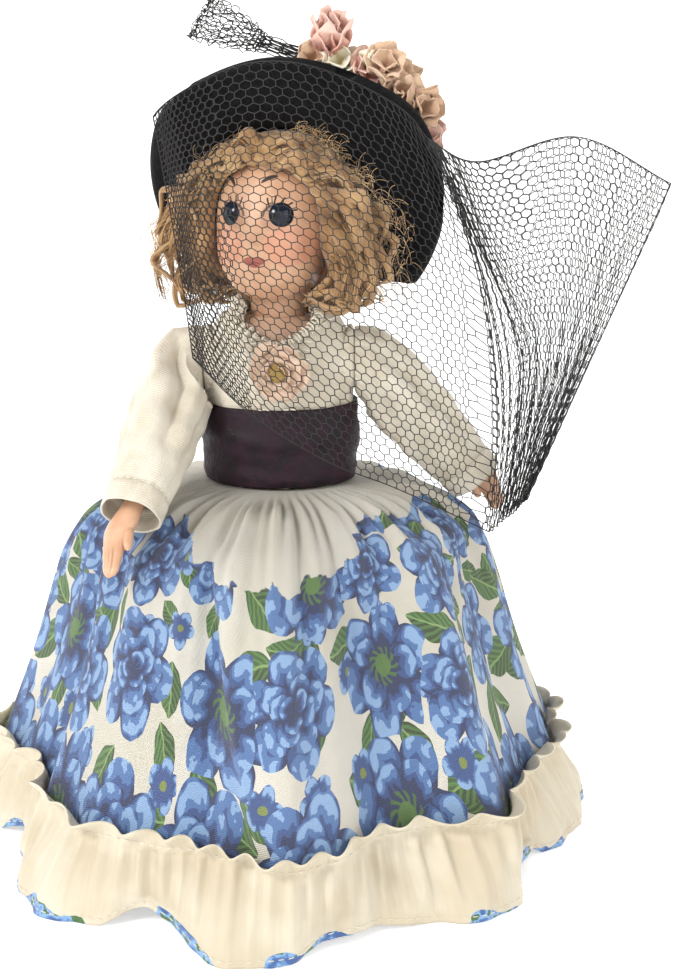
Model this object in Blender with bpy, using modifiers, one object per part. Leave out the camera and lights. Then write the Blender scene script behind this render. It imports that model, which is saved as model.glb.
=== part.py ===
"""A topsy turvy doll: two half dolls joined at the waist under one reversible skirt.

Lengths are metres, +Z is up, and the faces look along -Y. The doll stands on the crown of the
lower doll's cap and on the hem, so the floor is z = 0. Each half doll is modelled in its own
waist frame, with +Z running from the waist to the crown.
"""

import math

import bmesh
import bpy
from mathutils import Matrix, Vector

# Clearances
GAP = 0.0003
JOINT_GAP = 0.0005
OVERRUN = 0.004

# Torso, measured from the waist joint
TORSO_HEIGHT = 0.045
WAIST_HALF_WIDTH = 0.0165
WAIST_HALF_DEPTH = 0.0125
CHEST_HALF_WIDTH = 0.0175
CHEST_HALF_DEPTH = 0.0130
TORSO_WALL = 0.0016
SHOULDER_HEIGHT = 0.033
ARM_HOLE_RADIUS = 0.0030
PLUG_REACH = 0.006

# Neck and head
NECK_RADIUS = 0.0074
NECK_SEAT_DEPTH = 0.0030
NECK_LENGTH = 0.0075
HEAD_HALF_WIDTH = 0.0155
HEAD_HALF_DEPTH = 0.0175
HEAD_HALF_HEIGHT = 0.0195
HEAD_WALL = 0.0014
NOSE_PROUD = 0.0016
CHEEK_PROUD = 0.0006
HEAD_TURN = math.radians(-19)

# Sleep eyes, on a rocker with a weight
EYE_RADIUS = 0.0042
EYE_SPACING = 0.0108
EYE_RISE = 0.0025
EYE_SINK = 0.0033
EYE_CLOSING = math.radians(60)
ROCKER_ROD_RADIUS = 0.0006
WEIGHT_ARM = 0.0088
WEIGHT_SIZE = 0.0036
WEIGHT_LEAN = math.radians(38)

# Wigs
HAIR_ON_CROWN = 0.0034
HAIR_PUFF = 0.0165
HAIR_DROP = 0.0205
SHORT_HAIR = 0.0040
HAIR_LIFT = 0.0014

# Halo hat, on the back of the head
HAT_RADIUS = 0.0387
HAT_NAPE_SHARE = 0.62
HAT_SIDE_SHIFT_SHARE = 0.062
HAT_BACK_SHIFT_SHARE = 0.103
HAT_RISE_SHARE = 0.2016
HAT_TILT = math.radians(16)
HAT_EASE = 0.0008
FELT = 0.0016
RIM_ROLL = 0.0014

# Cloth
BLOUSE_EASE = 0.0018
CLOTH = 0.0007
SASH_HEIGHT = 0.0205
SASH_FULLNESS = 0.0024
V_NECK_DEPTH = 0.0075
THROAT_SHARE = 0.72
LACE_RADIUS = 0.0006
FLOWER_RADIUS = 0.0080
KNOT_RADIUS = 0.0022
PETAL = 0.0005

# Arms and sleeves
SHOULDER_RADIUS = 0.0048
WRIST_RADIUS = 0.0028
PALM_HALF_WIDTH = 0.0042
PALM_HALF_THICKNESS = 0.0024
SLEEVE_RADIUS = 0.0094
CUFF_RADIUS = 0.0076
SLEEVE_CLOTH = 0.0006
HAND_BEYOND_CUFF = 0.0115
REACHING_HAND_BEYOND_CUFF = 0.0180
HOOK_RADIUS = 0.0010
BAND_RADIUS = 0.0012

# Skirt
SKIRT_RADIUS = 0.0735
SKIRT_FOLD = 0.0048
HEM_FLARE = 0.0080
RUFFLE_HEIGHT = 0.0245
RUFFLE_WAVE = 0.0042
RUFFLE_LIFT = 0.0060
RUFFLE_OVERLAP = 0.0060
FLOOR_FLAT = 0.0005
INNER_HEM_RAISE = 0.0060

# Cap of the lower doll
CAP_CLOTH = 0.0010
CAP_FLAT = 0.0005

# Veil
NET_STRAND = 0.0005
NET_THICKNESS = 0.0004

# Blossoms behind the brim
BLOSSOM_RADIUS = 0.0062
BUD_RADIUS = 0.0032
ROSE_RADIUS = 0.0062
SMALL_PETAL_RADIUS = 0.0044
STEM_RADIUS = 0.0006
STEM_SHARE = 0.80
BLOSSOM_START = 4
BLOSSOM_END = 88

# Worked out from the sizes above
HEM_RADIUS = SKIRT_RADIUS + HEM_FLARE
CHIN_HEIGHT = TORSO_HEIGHT - NECK_SEAT_DEPTH + NECK_LENGTH
HEAD_CENTRE = CHIN_HEIGHT + HEAD_HALF_HEIGHT
HAIR_RADIUS = HEAD_HALF_HEIGHT + HAIR_ON_CROWN
CAP_HEIGHT = HEAD_CENTRE + HEAD_HALF_HEIGHT + SHORT_HAIR + 2 * GAP + CAP_CLOTH - CAP_FLAT
WAIST = CAP_HEIGHT
HAT_SPHERE = HAIR_RADIUS + HAT_EASE + FELT
HAT_SHIFT = (HAT_SIDE_SHIFT_SHARE, HAT_BACK_SHIFT_SHARE, HAT_RISE_SHARE)

TORSO_SHARES = (
    # height, then how much of the waist, the chest and the neck opening each ring takes
    (0.00, 1.00, 0.00, 0.00),
    (0.50, 0.30, 0.70, 0.00),
    (0.70, 0.00, 1.00, 0.00),
    (0.84, 0.00, 0.90, 0.10),
    (0.94, 0.00, 0.55, 0.45),
    (1.00, 0.00, 0.00, 1.00),
)
SKIRT_SHARES = (
    # how far out from the waist edge, and how far down to the skirt's lower edge
    (0.00, 0.00),
    (0.30, 0.035),
    (0.46, 0.085),
    (0.59, 0.150),
    (0.655, 0.265),
    (0.71, 0.400),
    (0.82, 0.660),
    (1.00, 1.000),
)
VEIL_FRONT_SHARES = (
    # along the brim, then the turn round the brim in quarter turns, the foot's place, the bulge
    (0.00, -0.68, -0.70, -0.78, 0.60, -0.15, -0.25),
    (0.25, -0.30, -0.22, -0.88, 0.37, 0.00, -0.50),
    (0.50, 0.08, 0.32, -0.90, 0.20, 0.05, -0.55),
    (0.75, 0.42, 0.80, -0.76, 0.07, 0.20, -0.45),
    (1.00, 0.75, 1.42, -0.36, -0.155, 0.45, -0.10),
)
VEIL_TAIL_SHARES = (
    # along, then the places of the top edge, the bulge and the foot
    (1.30, 1.34, 0.13, 1.21, 1.75, 0.00, 0.64, 1.50, -0.30, -0.13),
    (1.60, 2.04, 0.39, 1.295, 2.00, 0.15, 0.60, 1.60, -0.22, -0.10),
    (2.00, 2.69, 0.39, 1.12, 2.27, 0.30, 0.54, 1.70, -0.14, -0.06),
)
FOLD_SHARES = ((8, 0.65, 0.0), (3, 0.35, 0.5))

PARTS = "topsy_turvy_doll"
FACET_SHARES = {"upper": 1.0, "lower": 0.75}
CUTTERS = "cutters"
SKIRT_FACETS = 40
BODY_FACETS = 16


def clear_scene():
    for thing in list(bpy.data.objects):
        bpy.data.objects.remove(thing, do_unlink=True)


def make_collection(name):
    collection = bpy.data.collections.new(name)
    bpy.context.scene.collection.children.link(collection)
    return collection


def make_material(name, colour, roughness, metallic=0.0):
    material = bpy.data.materials.new(name)
    material.use_nodes = True
    shader = material.node_tree.nodes["Principled BSDF"]
    shader.inputs["Base Color"].default_value = (*colour, 1.0)
    shader.inputs["Roughness"].default_value = roughness
    shader.inputs["Metallic"].default_value = metallic
    return material


def make_empty(name, place, turn=(0.0, 0.0, 0.0), parent=None):
    empty = bpy.data.objects.new(name, None)
    bpy.data.collections[PARTS].objects.link(empty)
    empty.location = place
    empty.rotation_euler = turn
    empty.parent = parent
    return empty


def add_object(name, mesh, material, parent=None, collection=PARTS):
    thing = bpy.data.objects.new(name, mesh)
    bpy.data.collections[collection].objects.link(thing)
    thing.parent = parent
    if material is not None:
        mesh.materials.append(material)
    return thing


def smooth_step(value):
    value = min(max(value, 0.0), 1.0)
    return value * value * (3.0 - 2.0 * value)


def blend(low, high, share):
    return low + (high - low) * share


def facets(side, count):
    """How many facets a round piece has: fewer on the doll under the skirt."""
    return round(count * FACET_SHARES[side])


def interpolate(table, at):
    """The other columns of a table of numbers or places, at a value of its first column."""
    for below, above in zip(table, table[1:]):
        if at <= above[0]:
            share = (at - below[0]) / (above[0] - below[0])
            share = max(share, 0.0)
            return [a + (b - a) * share for a, b in zip(below[1:], above[1:])]
    return list(table[-1][1:])


def rows_mesh(name, rows, cap_ends=False, outward_rows=None):
    """A surface through rings of points, where a row of one point is a pole.

    It faces away from the middle of its rings, judged on the first outward_rows of them.
    """
    mesh = bpy.data.meshes.new(name)
    bm = bmesh.new()
    verts = [[bm.verts.new(point) for point in row] for row in rows]
    facing = 0.0
    judged = outward_rows or len(rows)
    for j, (upper, lower) in enumerate(zip(verts, verts[1:])):
        count = max(len(upper), len(lower))
        middle = sum((v.co for v in upper + lower), Vector()) / len(upper + lower)
        for i in range(count):
            after = (i + 1) % count
            if len(upper) == 1:
                corners = [upper[0], lower[i], lower[after]]
            elif len(lower) == 1:
                corners = [upper[i], lower[0], upper[after]]
            else:
                corners = [upper[i], lower[i], lower[after], upper[after]]
            face = bm.faces.new(corners)
            face.normal_update()
            if min(len(upper), len(lower)) > 1 and j < judged:
                facing += face.normal.dot(face.calc_center_median() - middle)
    if facing < 0.0:
        bmesh.ops.reverse_faces(bm, faces=bm.faces)
    if cap_ends:
        for row in (verts[0], verts[-1]):
            if len(row) > 1:
                bm.faces.new(row)
        bmesh.ops.recalc_face_normals(bm, faces=bm.faces)
    bm.to_mesh(mesh)
    bm.free()
    mesh.shade_smooth()
    return mesh


def add_wall(thing, thickness, even=True):
    wall = thing.modifiers.new("wall", "SOLIDIFY")
    wall.thickness = thickness
    wall.offset = -1.0
    wall.use_even_offset = even
    return thing


def boolean(thing, other, operation):
    cut = thing.modifiers.new(operation.lower(), "BOOLEAN")
    cut.operation = operation
    cut.solver = "EXACT"
    cut.object = other
    other.hide_render = True
    other.display_type = "WIRE"


def ring(middle, across, along, count, wave=None):
    """An ellipse of points round a middle, across and along being its half axes."""
    points = []
    for i in range(count):
        angle = math.tau * i / count
        swell = 1.0 + (wave(angle) if wave else 0.0)
        points.append(middle + (across * math.cos(angle) + along * math.sin(angle)) * swell)
    return points


def path_normals(points, first):
    """The way along a path at each of its points."""
    normals = [first]
    for before, after in zip(points, points[2:]):
        normals.append((after - before).normalized())
    normals.append((points[-1] - points[-2]).normalized())
    return normals


def path_rings(points, widths, depths, count, normals, wave=None):
    """Rings square to a path, with a half width and a half depth for each of its points."""
    rings = []
    for i, point in enumerate(points):
        normal = normals[i]
        along = Vector((0.0, 0.0, 1.0)).cross(normal).normalized()
        across = normal.cross(along).normalized()
        rings.append(ring(point, across * widths[i], along * depths[i], count, wave))
    return rings


def turned(name, outline, material, parent, steps=20, turn=(0.0, 0.0, 0.0), place=(0.0, 0.0, 0.0)):
    """A solid of revolution about its own Z, from an outline of (radius, height) down its side."""
    mesh = bpy.data.meshes.new(name)
    bm = bmesh.new()
    verts = [bm.verts.new((radius, 0.0, height)) for radius, height in outline]
    for a, b in zip(verts, verts[1:]):
        bm.edges.new((a, b))
    bm.to_mesh(mesh)
    bm.free()
    thing = add_object(name, mesh, material, parent)
    thing.location = place
    thing.rotation_euler = turn
    screw = thing.modifiers.new("turn", "SCREW")
    screw.steps = steps
    screw.render_steps = steps
    screw.use_merge_vertices = True
    screw.merge_threshold = 0.00001
    screw.use_smooth_shade = True
    return thing


def wire(name, points, radius, material, parent, closed=False):
    curve = bpy.data.curves.new(name, "CURVE")
    curve.dimensions = "3D"
    curve.bevel_depth = radius
    curve.bevel_resolution = 1
    curve.use_fill_caps = True
    spline = curve.splines.new("POLY")
    spline.points.add(len(points) - 1)
    for slot, point in zip(spline.points, points):
        slot.co = (*point, 1.0)
    spline.use_cyclic_u = closed
    thing = bpy.data.objects.new(name, curve)
    bpy.data.collections[PARTS].objects.link(thing)
    curve.materials.append(material)
    thing.parent = parent
    return thing


def ball(name, radius, segments, rings, material, parent, collection=PARTS):
    mesh = bpy.data.meshes.new(name)
    bm = bmesh.new()
    bmesh.ops.create_uvsphere(bm, u_segments=segments, v_segments=rings, radius=radius)
    bm.to_mesh(mesh)
    bm.free()
    mesh.shade_smooth()
    return add_object(name, mesh, material, parent, collection)


def cylinder_cutter(name, radius, length, parent, place, turn):
    mesh = bpy.data.meshes.new(name)
    bm = bmesh.new()
    bmesh.ops.create_cone(
        bm, cap_ends=True, segments=14, radius1=radius, radius2=radius, depth=length
    )
    bm.to_mesh(mesh)
    bm.free()
    cutter = add_object(name, mesh, None, parent, CUTTERS)
    cutter.location = place
    cutter.rotation_euler = turn
    return cutter


def box_cutter(name, size, parent):
    mesh = bpy.data.meshes.new(name)
    bm = bmesh.new()
    bmesh.ops.create_cube(bm, size=1.0)
    bmesh.ops.scale(bm, vec=size, verts=bm.verts)
    bm.to_mesh(mesh)
    bm.free()
    return add_object(name, mesh, None, parent, CUTTERS)


# Torso, blouse and sash


def torso_size(height_share):
    """The torso's half width and half depth at a share of its height."""
    waist, chest, neck = interpolate(TORSO_SHARES, height_share)
    opening = NECK_RADIUS + JOINT_GAP + TORSO_WALL / 2
    width = waist * WAIST_HALF_WIDTH + chest * CHEST_HALF_WIDTH + neck * opening
    depth = waist * WAIST_HALF_DEPTH + chest * CHEST_HALF_DEPTH + neck * opening
    return width, depth


def body_ring(height, ease, count, front_drop=0.0):
    """A ring that lies the ease outside the torso, dropped at the front for a V neck."""
    points = []
    for i in range(count):
        angle = math.tau * i / count
        front = max(0.0, -math.sin(angle)) ** 6
        at = height - front_drop * front
        width, depth = torso_size(at / TORSO_HEIGHT)
        points.append(
            Vector(((width + ease) * math.cos(angle), (depth + ease) * math.sin(angle), at))
        )
    return points


def make_torso(side, frame, looks):
    heights = [GAP] + [share[0] * TORSO_HEIGHT for share in TORSO_SHARES[1:]]
    rows = [body_ring(height, 0.0, BODY_FACETS) for height in reversed(heights)]
    lip = NECK_RADIUS - TORSO_WALL
    top = Vector((0.0, 0.0, TORSO_HEIGHT))
    rows.insert(0, ring(top, Vector((lip, 0.0, 0.0)), Vector((0.0, lip, 0.0)), len(rows[0])))
    torso = add_object(side + "_torso", rows_mesh("torso", rows), looks["plastic"], frame)
    add_wall(torso, TORSO_WALL)
    through = 2 * (CHEST_HALF_WIDTH + OVERRUN)
    place = (0.0, 0.0, SHOULDER_HEIGHT)
    turn = (0.0, math.pi / 2, 0.0)
    holes = cylinder_cutter(side + "_arm_holes", ARM_HOLE_RADIUS, through, frame, place, turn)
    boolean(torso, holes, "DIFFERENCE")
    depth = 2 * (TORSO_WALL + OVERRUN)
    opening = NECK_RADIUS + GAP
    neck_hole = cylinder_cutter(side + "_neck_hole", opening, depth, frame, top, (0.0, 0.0, 0.0))
    boolean(torso, neck_hole, "DIFFERENCE")


def make_blouse(side, frame, looks):
    rows = []
    for height_share, _, _, neck_share in TORSO_SHARES:
        height = max(height_share * TORSO_HEIGHT, CLOTH + 3 * GAP)
        drop = V_NECK_DEPTH * neck_share
        row = body_ring(height, BLOUSE_EASE, BODY_FACETS, drop)
        for point in row:
            point.z += BLOUSE_EASE * smooth_step(1.6 * neck_share)
        rows.append(row)
    rows.reverse()
    blouse = add_object(side + "_blouse", rows_mesh("blouse", rows), looks["blouse"], frame)
    add_wall(blouse, CLOTH)
    through = 2 * (CHEST_HALF_WIDTH + BLOUSE_EASE + OVERRUN)
    place = (0.0, 0.0, SHOULDER_HEIGHT)
    turn = (0.0, math.pi / 2, 0.0)
    radius = SHOULDER_RADIUS + JOINT_GAP
    holes = cylinder_cutter(side + "_armholes", radius, through, frame, place, turn)
    boolean(blouse, holes, "DIFFERENCE")
    return rows[0]


def make_sash(side, frame, looks):
    low = CLOTH + 3 * GAP
    inside = BLOUSE_EASE + GAP
    bulge_shares = (0.55, 1.00, 0.80, 1.00, 0.45)
    rows = []
    for i, bulge in enumerate(bulge_shares):
        height = low + SASH_HEIGHT * i / (len(bulge_shares) - 1)
        rows.append(body_ring(height, inside + SASH_FULLNESS * bulge, BODY_FACETS))
    for i in range(4):
        height = low + SASH_HEIGHT * (1 - i / 3)
        rows.append(body_ring(height, inside, BODY_FACETS))
    rows.append(rows[0])
    add_object(side + "_sash", ring_solid("sash", rows[:-1]), looks["sash"], frame)


def ring_solid(name, rows):
    """A closed ring whose section runs once round through the rows."""
    mesh = bpy.data.meshes.new(name)
    bm = bmesh.new()
    verts = [[bm.verts.new(point) for point in row] for row in rows]
    for upper, lower in zip(verts, verts[1:] + verts[:1]):
        for i in range(len(upper)):
            after = (i + 1) % len(upper)
            bm.faces.new([upper[i], lower[i], lower[after], upper[after]])
    bmesh.ops.recalc_face_normals(bm, faces=bm.faces)
    bm.to_mesh(mesh)
    bm.free()
    mesh.shade_smooth()
    return mesh


def make_lace(frame, edge, looks):
    """The lace cord that follows the edge of the V neck."""
    stand = LACE_RADIUS + 2 * GAP
    points = []
    for point in edge:
        out = Vector((point.x, point.y, 0.0)).normalized()
        points.append(point + out * stand + Vector((0.0, 0.0, stand)))
    wire("neckline_lace", points, LACE_RADIUS, looks["lace"], frame, closed=True)


def ruffled_cup(name, radius, petals, curl, material, parent, centre_share=0.12):
    """A cup of cloth petals about its own Z, opening towards +Z."""
    count = 3 * petals
    rows = [[Vector((0.0, 0.0, 0.0))]]
    for share in (0.35, 0.70, 1.00):
        row = []
        for i in range(count):
            angle = math.tau * i / count
            lobe = math.cos(petals * angle)
            reach = radius * share * (1.0 + centre_share * lobe * share)
            height = radius * curl * share * share * (1.0 + 0.35 * lobe)
            row.append(Vector((reach * math.cos(angle), reach * math.sin(angle), height)))
        rows.append(row)
    cup = add_object(name, rows_mesh(name, rows), material, parent)
    return add_wall(cup, PETAL)


def make_throat_flower(frame, looks):
    height = THROAT_SHARE * TORSO_HEIGHT
    chest = torso_size(height / TORSO_HEIGHT)[1]
    stand = chest + BLOUSE_EASE + GAP
    flower = ruffled_cup("throat_flower", FLOWER_RADIUS, 5, 0.28, looks["organza"], frame)
    flower.location = (0.0, -stand, height)
    flower.rotation_euler = (math.pi / 2, 0.0, 0.0)
    knot = ball("throat_knot", KNOT_RADIUS, 8, 6, looks["knot"], frame)
    knot.location = (0.0, -stand - KNOT_RADIUS - GAP - KNOT_RADIUS / 3, height)


# Inner strings and hooks


def make_waist_plug(frame, looks):
    inner_width = WAIST_HALF_WIDTH - TORSO_WALL - 2 * GAP
    inner_depth = WAIST_HALF_DEPTH - TORSO_WALL - 2 * GAP
    rows = []
    for height in (PLUG_REACH, -PLUG_REACH):
        across = Vector((inner_width, 0.0, 0.0))
        along = Vector((0.0, inner_depth, 0.0))
        rows.append(ring(Vector((0.0, 0.0, height)), across, along, BODY_FACETS))
    add_object("waist_plug", rows_mesh("plug", rows, cap_ends=True), looks["wood"], frame)


def arm_face():
    """How far from the middle an arm's flat shoulder lies."""
    return CHEST_HALF_WIDTH + BLOUSE_EASE + JOINT_GAP


def make_arm_band(side, frame, looks):
    reach = CHEST_HALF_WIDTH - TORSO_WALL - OVERRUN / 2
    outline = (
        (0.0, reach),
        (1.5 * BAND_RADIUS, reach),
        (1.5 * BAND_RADIUS, reach - 2 * BAND_RADIUS),
        (BAND_RADIUS, reach - 3 * BAND_RADIUS),
        (BAND_RADIUS, 3 * BAND_RADIUS - reach),
        (1.5 * BAND_RADIUS, 2 * BAND_RADIUS - reach),
        (1.5 * BAND_RADIUS, -reach),
        (0.0, -reach),
    )
    turn = (0.0, math.pi / 2, 0.0)
    place = (0.0, 0.0, SHOULDER_HEIGHT)
    turned(side + "_arm_band", outline, looks["elastic"], frame, 8, turn, place)
    return reach


def make_neck_hook(side, frame, looks):
    """A wire that hooks round the arm band and hangs in the neck washer."""
    radius = HOOK_RADIUS * 0.7
    loop = BAND_RADIUS + radius + GAP
    top = TORSO_HEIGHT + 2 * HOOK_RADIUS
    points = [Vector((0.0, 0.0, top))]
    points.append(Vector((0.0, 0.0, SHOULDER_HEIGHT + loop * 2)))
    for i in range(10):
        angle = math.pi / 2 + math.radians(8 + 30 * i)
        points.append(
            Vector((0.0, loop * math.cos(angle), SHOULDER_HEIGHT + loop * math.sin(angle)))
        )
    wire(side + "_neck_hook", points, radius, looks["steel"], frame)


def make_neck_washer(side, neck, looks):
    low = NECK_SEAT_DEPTH
    flat = math.cos(math.pi / facets(side, 20))
    outer = (NECK_RADIUS - HEAD_WALL) * flat - GAP
    inner = HOOK_RADIUS * 0.7 + GAP
    height = HOOK_RADIUS
    outline = ((inner, low), (inner, low + height), (outer, low + height), (outer, low), (inner, low))
    turned(side + "_neck_washer", outline, looks["steel"], neck, 12)


# Head


def head_radius(way):
    """The distance from the head's centre to its surface in a direction."""
    x, y, z = way
    full = 2.0 + 0.6 * smooth_step(-1.6 * z)
    spread = abs(x / HEAD_HALF_WIDTH) ** full + abs(y / HEAD_HALF_DEPTH) ** full
    base = (spread + abs(z / HEAD_HALF_HEIGHT) ** full) ** (-1.0 / full)
    nose = math.exp(-((x / 0.13) ** 2) - (((z + 0.06) / 0.14) ** 2)) if y < 0 else 0.0
    cheeks = math.exp(-(((abs(x) - 0.5) / 0.22) ** 2) - (((z + 0.32) / 0.25) ** 2)) if y < 0 else 0.0
    return base + NOSE_PROUD * nose + CHEEK_PROUD * cheeks


def polar(angle, around):
    """A direction: an angle down from +Z, and round from -Y."""
    return Vector(
        (
            math.sin(angle) * math.sin(around),
            -math.sin(angle) * math.cos(around),
            math.cos(angle),
        )
    )


def make_head(side, neck, looks):
    """The hollow head and its neck, open at the bottom where it sits in the torso."""
    centre = Vector((0.0, 0.0, HEAD_CENTRE - TORSO_HEIGHT + NECK_SEAT_DEPTH))
    count = facets(side, 20)
    chin = math.radians(150)
    rows = [[centre + Vector((0.0, 0.0, HEAD_HALF_HEIGHT))]]
    steps = facets(side, 8)
    for j in range(1, steps + 1):
        row = []
        for i in range(count):
            way = polar(chin * j / steps, math.tau * i / count)
            row.append(centre + way * head_radius(way))
        rows.append(row)
    for share in (1.0, 0.5, 0.0):
        height = share * (NECK_LENGTH + HEAD_WALL)
        radius = NECK_RADIUS if share else NECK_RADIUS - HEAD_WALL / 2
        across = Vector((0.0, -radius, 0.0))
        along = Vector((radius, 0.0, 0.0))
        rows.append(ring(Vector((0.0, 0.0, height)), across, along, count))
    head = add_object(side + "_head", rows_mesh("head", rows), looks["skin"], neck)
    add_wall(head, HEAD_WALL)
    for sign, name in ((-1, "_right_eye_seat"), (1, "_left_eye_seat")):
        seat = ball(side + name, EYE_RADIUS + GAP, 12, 8, None, neck, CUTTERS)
        seat.location = eye_place() + Vector((sign * EYE_SPACING / 2, 0.0, 0.0))
        boolean(head, seat, "DIFFERENCE")


def eye_place():
    """The middle of the line between the eyes, in the neck frame."""
    across = EYE_SPACING / 2 / HEAD_HALF_WIDTH
    rise = EYE_RISE / HEAD_HALF_HEIGHT
    surface = HEAD_HALF_DEPTH * math.sqrt(1.0 - across**2 - rise**2)
    base = HEAD_CENTRE - TORSO_HEIGHT + NECK_SEAT_DEPTH
    return Vector((0.0, EYE_SINK - surface, base + EYE_RISE))


def make_eyes(side, neck, looks, closed):
    turn = (EYE_CLOSING if closed else 0.0, 0.0, 0.0)
    hinge = make_empty(side + "_eye_hinge", eye_place(), turn, neck)
    for sign, name in ((-1, "_right_eye"), (1, "_left_eye")):
        eye = ball(side + name, EYE_RADIUS, 12, 8, looks["eye"], hinge)
        eye.location = (sign * EYE_SPACING / 2, 0.0, 0.0)
    make_rocker(side, hinge, looks)
    return hinge


def make_rocker(side, hinge, looks):
    """The bar between the eyes, with a lever down and back to its weight."""
    reach = EYE_SPACING / 2 - EYE_RADIUS - GAP
    outline = (
        (0.0, reach),
        (ROCKER_ROD_RADIUS, reach),
        (ROCKER_ROD_RADIUS, -reach),
        (0.0, -reach),
    )
    rod = turned(side + "_eye_rocker", outline, looks["lead"], hinge, 8, (0.0, math.pi / 2, 0.0))
    lean = Vector((0.0, math.sin(WEIGHT_LEAN), -math.cos(WEIGHT_LEAN)))
    lever = cylinder_cutter(
        side + "_eye_lever",
        ROCKER_ROD_RADIUS * 0.9,
        WEIGHT_ARM,
        hinge,
        lean * WEIGHT_ARM / 2,
        (WEIGHT_LEAN, 0.0, 0.0),
    )
    boolean(rod, lever, "UNION")
    weight = ball(side + "_eye_weight", WEIGHT_SIZE / 2, 8, 6, None, hinge, CUTTERS)
    weight.location = lean * WEIGHT_ARM
    boolean(rod, weight, "UNION")


# Wigs, hat and cap


def hat_front():
    """The direction out of the hat's underside, in the head's frame."""
    return Vector((0.0, -math.cos(HAT_TILT), -math.sin(HAT_TILT)))


def face_opening(around, top, side, nape):
    """The hairline: degrees from the face's middle, at an angle round it from the top."""
    down = smooth_step((abs(around) - math.radians(105)) / math.radians(70))
    sideways = math.sin(min(abs(around), math.pi / 2))
    return math.radians(blend(blend(top, side, sideways), nape, down))


def face_way(angle, around):
    """A direction: an angle back from -Y, and round from +Z towards +X."""
    return Vector(
        (
            math.sin(angle) * math.sin(around),
            -math.cos(angle),
            math.sin(angle) * math.cos(around),
        )
    )


def long_hair(way):
    """The long wig's radius: inside the hat behind its plane, and puffed out in front."""
    in_hat = HAIR_RADIUS
    front = smooth_step((way.dot(hat_front()) + 0.12) / 0.38)
    low = smooth_step((0.75 - way.z) / 0.9)
    curl = 0.5 + 0.5 * math.sin(9.0 * math.atan2(way.x, -way.y) + 4.0 * way.z)
    puff = HAIR_PUFF * front * low * (0.80 + 0.20 * curl) + HAIR_ON_CROWN * 0.5 * front
    radius = in_hat + puff
    if way.z < 0.0:
        radius = min(radius, HAIR_DROP / -way.z)
    return max(radius, head_radius(way) + 2 * HAIR_LIFT)


def short_hair(way):
    return HEAD_HALF_HEIGHT + SHORT_HAIR


def make_wig(side, neck, looks, hair, opening):
    """A cap of hair between the head's surface and the hair's own outline."""
    centre = Vector((0.0, 0.0, HEAD_CENTRE - TORSO_HEIGHT + NECK_SEAT_DEPTH))
    lift = HAIR_LIFT / FACET_SHARES[side]
    count = facets(side, 24)
    steps = facets(side, 8)
    outer = []
    inner = []
    for j in range(steps):
        outer_row = []
        inner_row = []
        for i in range(count):
            around = math.tau * i / count
            if around > math.pi:
                around -= math.tau
            start = face_opening(around, *opening)
            angle = blend(start, math.pi, j / steps)
            way = face_way(angle, around)
            skin = head_radius(way) + lift
            rounding = smooth_step(0.35 + 1.3 * j / steps)
            outer_row.append(centre + way * blend(skin + CLOTH, hair(way), rounding))
            inner_row.append(centre + way * skin)
        outer.append(outer_row)
        inner.append(inner_row)
    back = face_way(math.pi, 0.0)
    rows = [[centre + back * (head_radius(back) + lift)]]
    rows += inner[::-1] + outer
    rows.append([centre + back * hair(back)])
    mesh = rows_mesh("wig", rows)
    fix_normals(mesh)
    add_object(side + "_wig", mesh, looks["hair"], neck)


def fix_normals(mesh):
    bm = bmesh.new()
    bm.from_mesh(mesh)
    bmesh.ops.recalc_face_normals(bm, faces=bm.faces)
    bm.to_mesh(mesh)
    bm.free()


def make_hat_frame(neck):
    base = HEAD_CENTRE - TORSO_HEIGHT + NECK_SEAT_DEPTH
    place = Vector(HAT_SHIFT) * HAT_RADIUS + Vector((0.0, 0.0, base))
    return make_empty("hat_frame", place, (math.pi / 2 + HAT_TILT, 0.0, 0.0), neck)


def make_hat(hat_frame, looks):
    """The felt hat: a dome over the back of the wig, and a halo brim with a rolled edge."""
    back = hat_frame.rotation_euler.to_matrix().inverted()
    head = back @ Vector(HAT_SHIFT) * -HAT_RADIUS
    sphere = HAT_SPHERE
    crown_radius = math.sqrt(sphere**2 - head.z**2)
    count = 26
    rows = [[head + Vector((0.0, 0.0, -sphere))]]
    edge_angle = math.acos(head.z / sphere)
    dome_shares = (0.30, 0.55, 0.78)
    for share in dome_shares:
        angle = edge_angle * share
        middle = head + Vector((0.0, 0.0, -sphere * math.cos(angle)))
        reach = sphere * math.sin(angle)
        rows.append(ring(middle, Vector((0.0, reach, 0.0)), Vector((reach, 0.0, 0.0)), count))
    for share, depth in ((0.0, 0.9), (0.12, 0.15), (0.5, 0.0), (0.93, 0.0), (1.0, 1.0), (0.97, 1.9)):
        row = []
        for i in range(count):
            around = math.tau * i / count
            way = Vector((math.sin(around), math.cos(around), 0.0))
            start = Vector((head.x, head.y, 0.0)) + way * crown_radius
            rim = way * HAT_RADIUS
            lift = RIM_ROLL if share > 0.5 else FELT
            row.append(start.lerp(rim, share) + Vector((0.0, 0.0, -lift * depth)))
        rows.append(row)
    mesh = rows_mesh("hat", rows, outward_rows=len(dome_shares))
    hat = add_object("halo_hat", mesh, looks["felt"], hat_frame)
    add_wall(hat, FELT, even=False)
    size = 3 * HAT_RADIUS
    nape = box_cutter("hat_nape", (size, size, size), hat_frame)
    nape.location.y = -HAT_NAPE_SHARE * HAT_RADIUS - size / 2
    boolean(hat, nape, "DIFFERENCE")


def brim_place(degrees_round, radius, behind):
    angle = math.radians(degrees_round)
    return Vector((radius * math.sin(angle), radius * math.cos(angle), -behind))


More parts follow.
